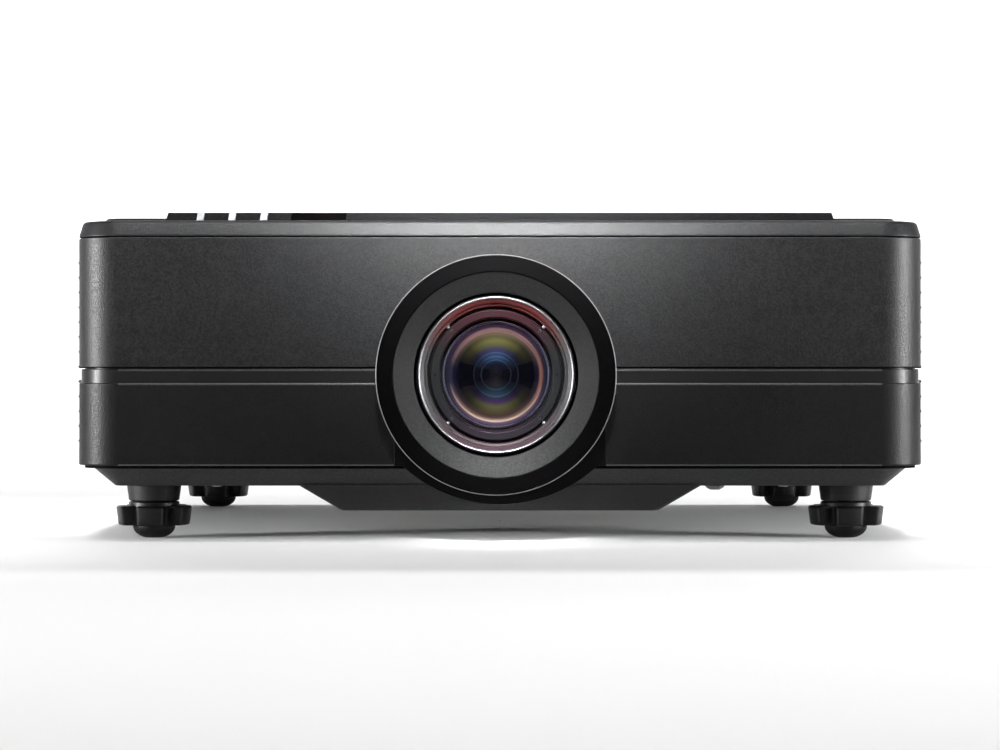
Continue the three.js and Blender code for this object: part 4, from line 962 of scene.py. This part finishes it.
def collar_y(outer, inner, y0, y1, edge=0.15):
    """A short tube along Y with soft rims at its rear end."""
    return along_y([
        (outer, y0), (outer, y1 - edge), (shrink(outer, edge), y1), (shrink(inner, -edge), y1), (inner, y1 - edge),
        (inner, y0),
    ])


def plate_y(points, y0, y1, edge=0.15):
    """A solid plate facing the rear, with a soft rim."""
    return loft([
        [(x, y, z) for x, z in shrink(points, inset)]
        for inset, y in ((0, y0), (0, y1 - edge), (edge * 0.3, y1 - edge * 0.3), (edge, y1))
    ])


def pin_y(x, z, radius, y0, y1):
    """A round pin along Y with a domed end."""
    return lathe(rounded([
        (0.005, y0), (radius, y0), (radius, y1, radius * 0.8), (0.005, y1),
    ]), x, z, 16)


def metal_mouth(x, z, half_width, half_height):
    """The plated shell of a video or USB socket: a rim in front of the plate, and a liner down its hollow."""
    outer, root, liner, inner = (
        rect(x, z, half_width + grow, half_height + grow, radius)
        for grow, radius in ((1.4, 0.9), (0.9, 0.7), (-0.02, 0.5), (-0.2, 0.4))
    )
    edge, tip = 0.2, SOCKET_FACE + 0.25
    return along_y([
        (outer, IO_FACE + 0.02), (outer, tip - edge), (shrink(outer, edge), tip), (shrink(inner, -edge), tip),
        (inner, tip - edge), (inner, IO_DEEP + 0.1), (liner, IO_DEEP + 0.1), (liner, SOCKET_FACE + 0.02),
        (root, SOCKET_FACE + 0.02), (root, IO_FACE + 0.02),
    ])


def contact_row(x, count, pitch, width, y0, y1, z0, z1):
    """A row of flat contacts, centred on x."""
    first = x - pitch * (count - 1) / 2
    return [
        box_shell((first + k * pitch - width / 2, y0, z0), (first + k * pitch + width / 2, y1, z1), 0.04)
        for k in range(count)
    ]


def video_and_usb():
    z = UPPER_ROW_Z
    mouths = [metal_mouth(x, z, 6.9, 2.2) for x in VIDEO_X]
    mouths.append(metal_mouth(USB_X, z, 6.3, 2.5))
    fitting("socket_shells", mouths, STEEL)
    contacts = []
    for x in VIDEO_X:
        contacts += contact_row(x, 10, 1, 0.5, IO_DEEP + 0.5, IO_FACE - 0.3, z + 0.85, z + 0.98)
        contacts += contact_row(x, 9, 1, 0.5, IO_DEEP + 0.5, IO_FACE - 0.3, z - 0.98, z - 0.85)
    contacts += contact_row(USB_X, 4, 2.5, 1.1, IO_DEEP + 0.5, IO_FACE - 0.1, z - 1.22, z - 1.06)
    fitting("socket_contacts", contacts, GOLD)
    tongue = box_shell((USB_X - 5.4, IO_DEEP + 0.2, z - 1.1), (USB_X + 5.4, IO_FACE + 0.15, z + 1.1), 0.2)
    fitting("usb_tongue", [tongue], BLUE_PLASTIC)


def d_shape(x, z, grow):
    """The slant-sided outline of a nine-way socket."""
    top, low, high = 8.45 + grow, 7.45 + grow, 4.15 + grow
    corners = rounded([
        (-low, -high, 1.5), (low, -high, 1.5), (top, high, 1.5), (-top, high, 1.5),
    ], steps=5)
    return [(x + p[0], z + p[1]) for p in corners]


def serial_sockets():
    plates, pins, backs = [], [], []
    z = LOWER_ROW_Z
    face = SOCKET_FACE + 0.1
    for x in SERIAL_X:
        plates.append(plate_y(rect(x, z, 15.4, 6.2, 1.6), IO_FACE + 0.02, face, 0.2))
        plates.append(collar_y(d_shape(x, z, 0), d_shape(x, z, -0.45), face - 0.05, 253.9, 0.12))
        for side in (-12.5, 12.5):
            corners = ring_of(x + side, z, 2.75, 6, math.pi / 6)
            hexagon = [
                (a[0] + (b[0] - a[0]) * t / 4, a[1] + (b[1] - a[1]) * t / 4)
                for a, b in zip(corners, corners[1:] + corners[:1])
                for t in range(4)
            ]
            plates.append(collar_y(hexagon, ring_of(x + side, z, 1.3, 24, math.pi / 6), face - 0.05, 253, 0.2))
        backs.append(plate_y(d_shape(x, z, -0.5), face - 0.05, face + 0.6, 0.1))
        for row, count in ((1.42, 5), (-1.42, 4)):
            pins += [pin_y(x + (k - (count - 1) / 2) * 2.77, z + row, 0.5, face, 253.2) for k in range(count)]
    fitting("serial_shells", plates, STEEL)
    fitting("serial_insulators", backs, SOCKET_PLASTIC)
    fitting("serial_pins", pins, GOLD)


def jack_sockets():
    face = SOCKET_FACE
    ring = rounded([
        (1.85, face - 0.1), (3.75, face - 0.1), (3.75, face + 0.25, 0.1), (3.4, face + 0.45, 0.1),
        (2.3, face + 0.45, 0.1), (1.85, face + 0.2, 0.1),
    ])
    sleeve = rounded([(1.5, 243), (1.78, 243), (1.78, face + 0.3, 0.05), (1.5, face + 0.3, 0.05)])
    nut = rounded([
        (4, IO_FACE + 0.02), (5.2, IO_FACE + 0.02), (5.2, IO_FACE + 0.4, 0.1), (4.8, IO_FACE + 0.6, 0.1),
        (4, IO_FACE + 0.6, 0.1),
    ])
    metal = [lathe(part, x, LOWER_ROW_Z, count) for x in JACK_X for part, count in ((sleeve, 32), (nut, 40))]
    fitting("jack_sleeves", metal, STEEL)
    for name, material, places in (("blue", BLUE_PLASTIC, JACK_X[:2]), ("green", GREEN_PLASTIC, JACK_X[2:])):
        fitting("jack_rings_" + name, [lathe(ring, x, LOWER_ROW_Z, 40) for x in places], material)


def network_ports():
    z = UPPER_ROW_Z
    face = SOCKET_FACE
    shield = collar_y(rect(0, z, 18.4, 7.4, 0.8), rect(0, z, 17.2, 6.4, 0.5), IO_FACE + 0.02, face + 0.3)
    fitting("network_shield", [shield], STEEL)
    fitting("network_bodies", [
        collar_y(rect(x, z, 7.6, 6.2, 0.3), rect(x, z, 5.85, 3.85, 0.3), face - 0.3, face + 0.12, 0.08)
        for x in PORT_X
    ], SOCKET_PLASTIC)
    spring = box_shell((-0.22, -3.2, -0.12), (0.22, 3.2, 0.12), 0.03)
    slant = Matrix.Rotation(-0.28, 4, "X")
    fitting("network_contacts", [
        moved(spring, Matrix.Translation((x + (k - 3.5) * 1.02, 245, z + 2.9)) @ slant)
        for x in PORT_X
        for k in range(8)
    ], GOLD)
    for side, name, material in ((-1, "green", GREEN_PLASTIC), (1, "amber", AMBER_PLASTIC)):
        fitting("network_lamps_" + name, [
            plate_y(rect(x + side * 4.3, z + 5.05, 1.3, 0.65, 0.15), face - 0.1, face + 0.25, 0.08) for x in PORT_X
        ], material)


def mains_inlet():
    low, high = node_box("power_inlet")
    x = (low.x + high.x) / 2
    z, switch_z = 116, ROCKER_Z
    face = high.y
    deep = face - 16.9
    well = [(-12.15, -8.35), (12.15, -8.35), (12.15, 3), (12.15, 8.35), (-12.15, 8.35), (-12.15, 3)]
    mouth = [(-11.6, -7.9), (11.6, -7.9), (11.6, 2.6), (7.2, 7.9), (-7.2, 7.9), (-11.6, 2.6)]
    well, mouth = ([(x + a, z + b) for a, b in points] for points in (well, mouth))
    lining = along_y([(well, deep), (well, face - 0.1), (mouth, face - 0.1), (mouth, deep)])
    bezel = collar_y(rect(x, z, 14.6, 10.8, 1.6), rect(x, z, 12.15, 8.35, 0.8), face - 0.1, face + 1.3, 0.35)
    step = collar_y(
        rect(x, switch_z, 8.6, 13, 1.2), rect(x, switch_z, 6.55, 11.05, 0.5), face - 0.1, face + 0.8, 0.25,
    )
    fitting("inlet_moulding", [lining, bezel, step], SOCKET_PLASTIC, 25)
    fitting("inlet_blades", [
        box_shell((x + a - 1, deep - 1, z + b - 2), (x + a + 1, deep + 13.5, z + b + 2), 0.35)
        for a, b in ((-7, -2.2), (7, -2.2), (0, 2.2))
    ], STEEL)


def screw_out(x, y, z, radius):
    """A pan-head screw seen from the rear, with a recess."""
    return lathe(rounded([
        (0.005, y + 0.9), (radius * 0.3, y + 0.9), (radius * 0.42, y + 1.55, 0.1), (radius * 0.7, y + 1.5, 0.5),
        (radius, y + 0.7, 0.4), (radius, y - 0.2), (0.005, y - 0.2),
    ]), x, z, 32)


def rear_screws():
    low, high = node_box("power_inlet")
    heads = [screw_out(x, IO_FACE, z, 2.9) for x in (-183, -60, 131) for z in (106, 157)]
    heads += [screw_out(x, high.y - 0.1, LOWER_ROW_Z - 1, 2.2) for x in (low.x + 3.6, high.x - 3.6)]
    fitting("rear_screws", heads, STEEL)


def rocker_marks():
    """A line and a ring on the rocker's two faces."""
    low, high = node_box("power_switch")
    tilt = Matrix.Rotation(math.radians(8), 4, "X")
    hinge = Matrix.Translation(((low.x + high.x) / 2, IO_FACE - 3, ROCKER_Z)) @ tilt
    slope = math.atan2(1.2, 9.8)
    along = 5.2
    height = 2.6 + along * math.tan(slope)
    marks = []
    for side, shell in (
        (1, plate_y(rect(0, 0, 0.35, 2, 0.2), -0.1, 0.06, 0.02)),
        (-1, collar_y(ring_of(0, 0, 1.9, 32), ring_of(0, 0, 1.35, 32), -0.1, 0.06, 0.02)),
    ):
        turn = Matrix.Translation((0, height, side * along)) @ Matrix.Rotation(-side * slope, 4, "X")
        marks.append(moved(shell, hinge @ turn))
    add_piece("rocker_marks", marks, INK, "mains_switch")


def key_marks():
    """Generic signs on the keys: arrows, a ring, three bars, and a ring with a gap and a line."""
    face = node_box("enter_button")[1].y
    depth = (-0.05, 0.09, 0.02)  # back, front and edge of a sign's plate, from the key's face

    def sign(key, *shells):
        low, high = node_box(key + "_button")
        centre = Matrix.Translation(((low.x + high.x) / 2, face, (low.z + high.z) / 2))
        shells = [moved(shell, centre) for shell in shells]
        add_piece(key + "_mark", shells, INK, key + "_key")

    for key, turn in (("up", 0), ("down", math.pi), ("left", -math.pi / 2), ("right", math.pi / 2)):
        c, s = math.cos(turn), math.sin(turn)
        arrow = rounded([(a * c - b * s, a * s + b * c, 0.3) for a, b in ((-2.1, -1.2), (2.1, -1.2), (0, 1.7))])
        sign(key, plate_y(arrow, *depth))
    sign("enter", collar_y(ring_of(0, 0, 2.5, 40), ring_of(0, 0, 2, 40), *depth))
    sign("menu", *[plate_y(rect(0, z, 2.6, 0.28, 0.1), *depth) for z in (-1.5, 0, 1.5)])
    gap_ends = math.radians(120), math.radians(420)
    outer, inner = (arc(0, 0, radius, *gap_ends, 30) for radius in (2.8, 2.3))
    sign("power", plate_y(outer + inner[::-1], *depth), plate_y(rect(0, 1.9, 0.27, 1.3, 0.1), *depth))


def rear_panel():
    video_and_usb()
    serial_sockets()
    jack_sockets()
    network_ports()
    mains_inlet()
    rear_screws()
    rocker_marks()
    key_marks()


# ---- CAD nodes that stay


def dress_cad_nodes():
    """The CAD nodes that stay: a material, an edge radius in millimetres, and the nodes that take them."""
    for material, edge, names in (
        (DECK, 0.35, "top_panel"),
        (LIGHT_PIPE, 0.12, "status_light_pipe"),
        (IR_WINDOW, 0.15, "front_ir_window"),
        (TRAY, 0.25, "rear_io_panel"),
        (SOCKET_PLASTIC, 0.12, "io_board"),
        (STEEL, 0.15, "network_sockets"),
        (SOCKET_PLASTIC, 0.3, "power_inlet"),
        (BUTTON, 0.35, "power_switch"),
        (BUTTON, 0.4, "power_button menu_button enter_button up_button down_button left_button right_button"),
        (ALLOY, 0.4, "lens_mount_frame vertical_carriage horizontal_carriage optical_engine"),
        (FINS, 0.2, "laser_module laser_heat_sink"),
        (BOARD, 0.2, "dmd_board main_board power_supply"),
        (BARREL, 0, "lens_barrel focus_ring zoom_ring"),
        (SHAFT, 0, "focus_pinion zoom_pinion focus_motor zoom_motor vertical_shift_screw horizontal_shift_screw"),
        (FAN_PLASTIC, 0.4, "exhaust_fan_front_frame exhaust_fan_rear_frame"),
        (FAN_PLASTIC, 0.2, "exhaust_fan_front_rotor exhaust_fan_rear_rotor"),
        (FINS, 0, "phosphor_wheel"),
        (FOAM, 0.6, "air_filter"),
        (STEEL, 0, "security_bar"),
    ):
        for name in names.split():
            dress(name, material, edge)


# ---- stage, lights and camera


def stage():
    """A pale floor that curves up into a wall all round, far enough away for a camera on any side."""
    flat = 5
    bend = 1.5
    steps = 16
    profile = [(0.001, 0), (2, 0), (flat, 0)]
    for k in range(1, steps + 1):
        angle = math.pi / 2 * k / steps
        profile.append((flat + bend * math.sin(angle), bend - bend * math.cos(angle)))
    profile.append((flat + bend, 4.5))
    segments = 96
    vertices = [
        (r * math.cos(2 * math.pi * k / segments), r * math.sin(2 * math.pi * k / segments), z)
        for k in range(segments)
        for r, z in profile
    ]
    count = len(profile)
    faces = [
        (k * count + i, (k + 1) % segments * count + i, (k + 1) % segments * count + i + 1, k * count + i + 1)
        for k in range(segments)
        for i in range(count - 1)
    ]
    mesh = bpy.data.meshes.new("floor")
    mesh.from_pydata(vertices, [], faces)
    mesh.shade_smooth()
    shader = Shader("floor_paper", (9000, 9000, 9000), 0.9, specular=0.1)
    shader.vary((8950, 8950, 8950), (9050, 9050, 9050), 3)
    mesh.materials.append(shader.material)
    floor = bpy.data.objects.new("floor", mesh)
    bpy.context.scene.collection.objects.link(floor)


def softbox(name, place, target, size, power, spread=180):
    light = bpy.data.lights.new(name, "AREA")
    light.shape = "RECTANGLE"
    light.size, light.size_y = size
    light.spread = math.radians(spread)
    light.energy = power
    lamp = bpy.data.objects.new(name, light)
    lamp.location = place
    lamp.rotation_euler = (Vector(target) - Vector(place)).to_track_quat("-Z", "Y").to_euler()
    bpy.context.scene.collection.objects.link(lamp)


def side_strip(name, side, degrees, power, spread):
    """An upright strip beside the object, at an angle from its front-to-back line."""
    corner = 0.22
    reach = 1.05
    turn = math.radians(degrees)
    place = (side * (corner + reach * math.sin(turn)), FRONT * MM - reach * math.cos(turn), 0.12)
    softbox(name, place, (side * corner, -corner, 0.12), (0.1, 0.7), power, spread)


def lights():
    upper_wall = (0, FRONT * MM, 0.25)
    softbox("key", (0, -1.3, 0.85), upper_wall, (0.12, 0.12), 1.4, 12)
    softbox("near_key", (0, -0.9, 0.95), upper_wall, (0.2, 0.12), 0.28, 20)
    softbox("wide_key", (0, -0.9, 0.95), (0, FRONT * MM, 0.27), (1.1, 0.05), 2.1, 16)
    side_strip("left_strip", -1, 72, 4.2, 40)
    side_strip("right_strip", 1, 72, 3.2, 40)
    side_strip("right_fill", 1, 60, 9.5, 180)
    softbox("backdrop_light", (0, 3.4, 3), (0, 4.6, 0), (4, 1.6), 420)
    softbox("floor_light", (0, -0.8, 1.7), (0, -0.8, 0), (2.4, 0.8), 5.3, 70)
    softbox("rear_light", (0.5, 1.5, 1.3), (0, REAR * MM, 0.1), (1, 0.6), 8)
    softbox("lens_light", (0, -1.35, 0.75), (0, -0.25, 0.052), (0.05, 0.05), 0.075, 5)
    world = bpy.data.worlds.new("studio")
    world.use_nodes = True
    world.node_tree.nodes["Background"].inputs["Color"].default_value = (1, 1, 1, 1)
    world.node_tree.nodes["Background"].inputs["Strength"].default_value = 0.04
    bpy.context.scene.world = world


def camera():
    data = bpy.data.cameras.new("camera")
    data.lens = 100.4
    data.sensor_width = 36
    data.shift_y = -0.004
    data.clip_start = 0.01
    view = bpy.data.objects.new("camera", data)
    view.location = (0, -1.7725, 0.0951)
    view.rotation_euler = (math.pi / 2, 0, 0)
    bpy.context.scene.collection.objects.link(view)
    bpy.context.scene.camera = view
    bpy.context.scene.view_settings.view_transform = "Standard"


camera()
stage()
lights()
casing()
surround()
bottom()
for vent_side in VENTS:
    grille(vent_side)
for foot_name in FEET:
    foot(foot_name)
lens()
rear_panel()
dress_cad_nodes()
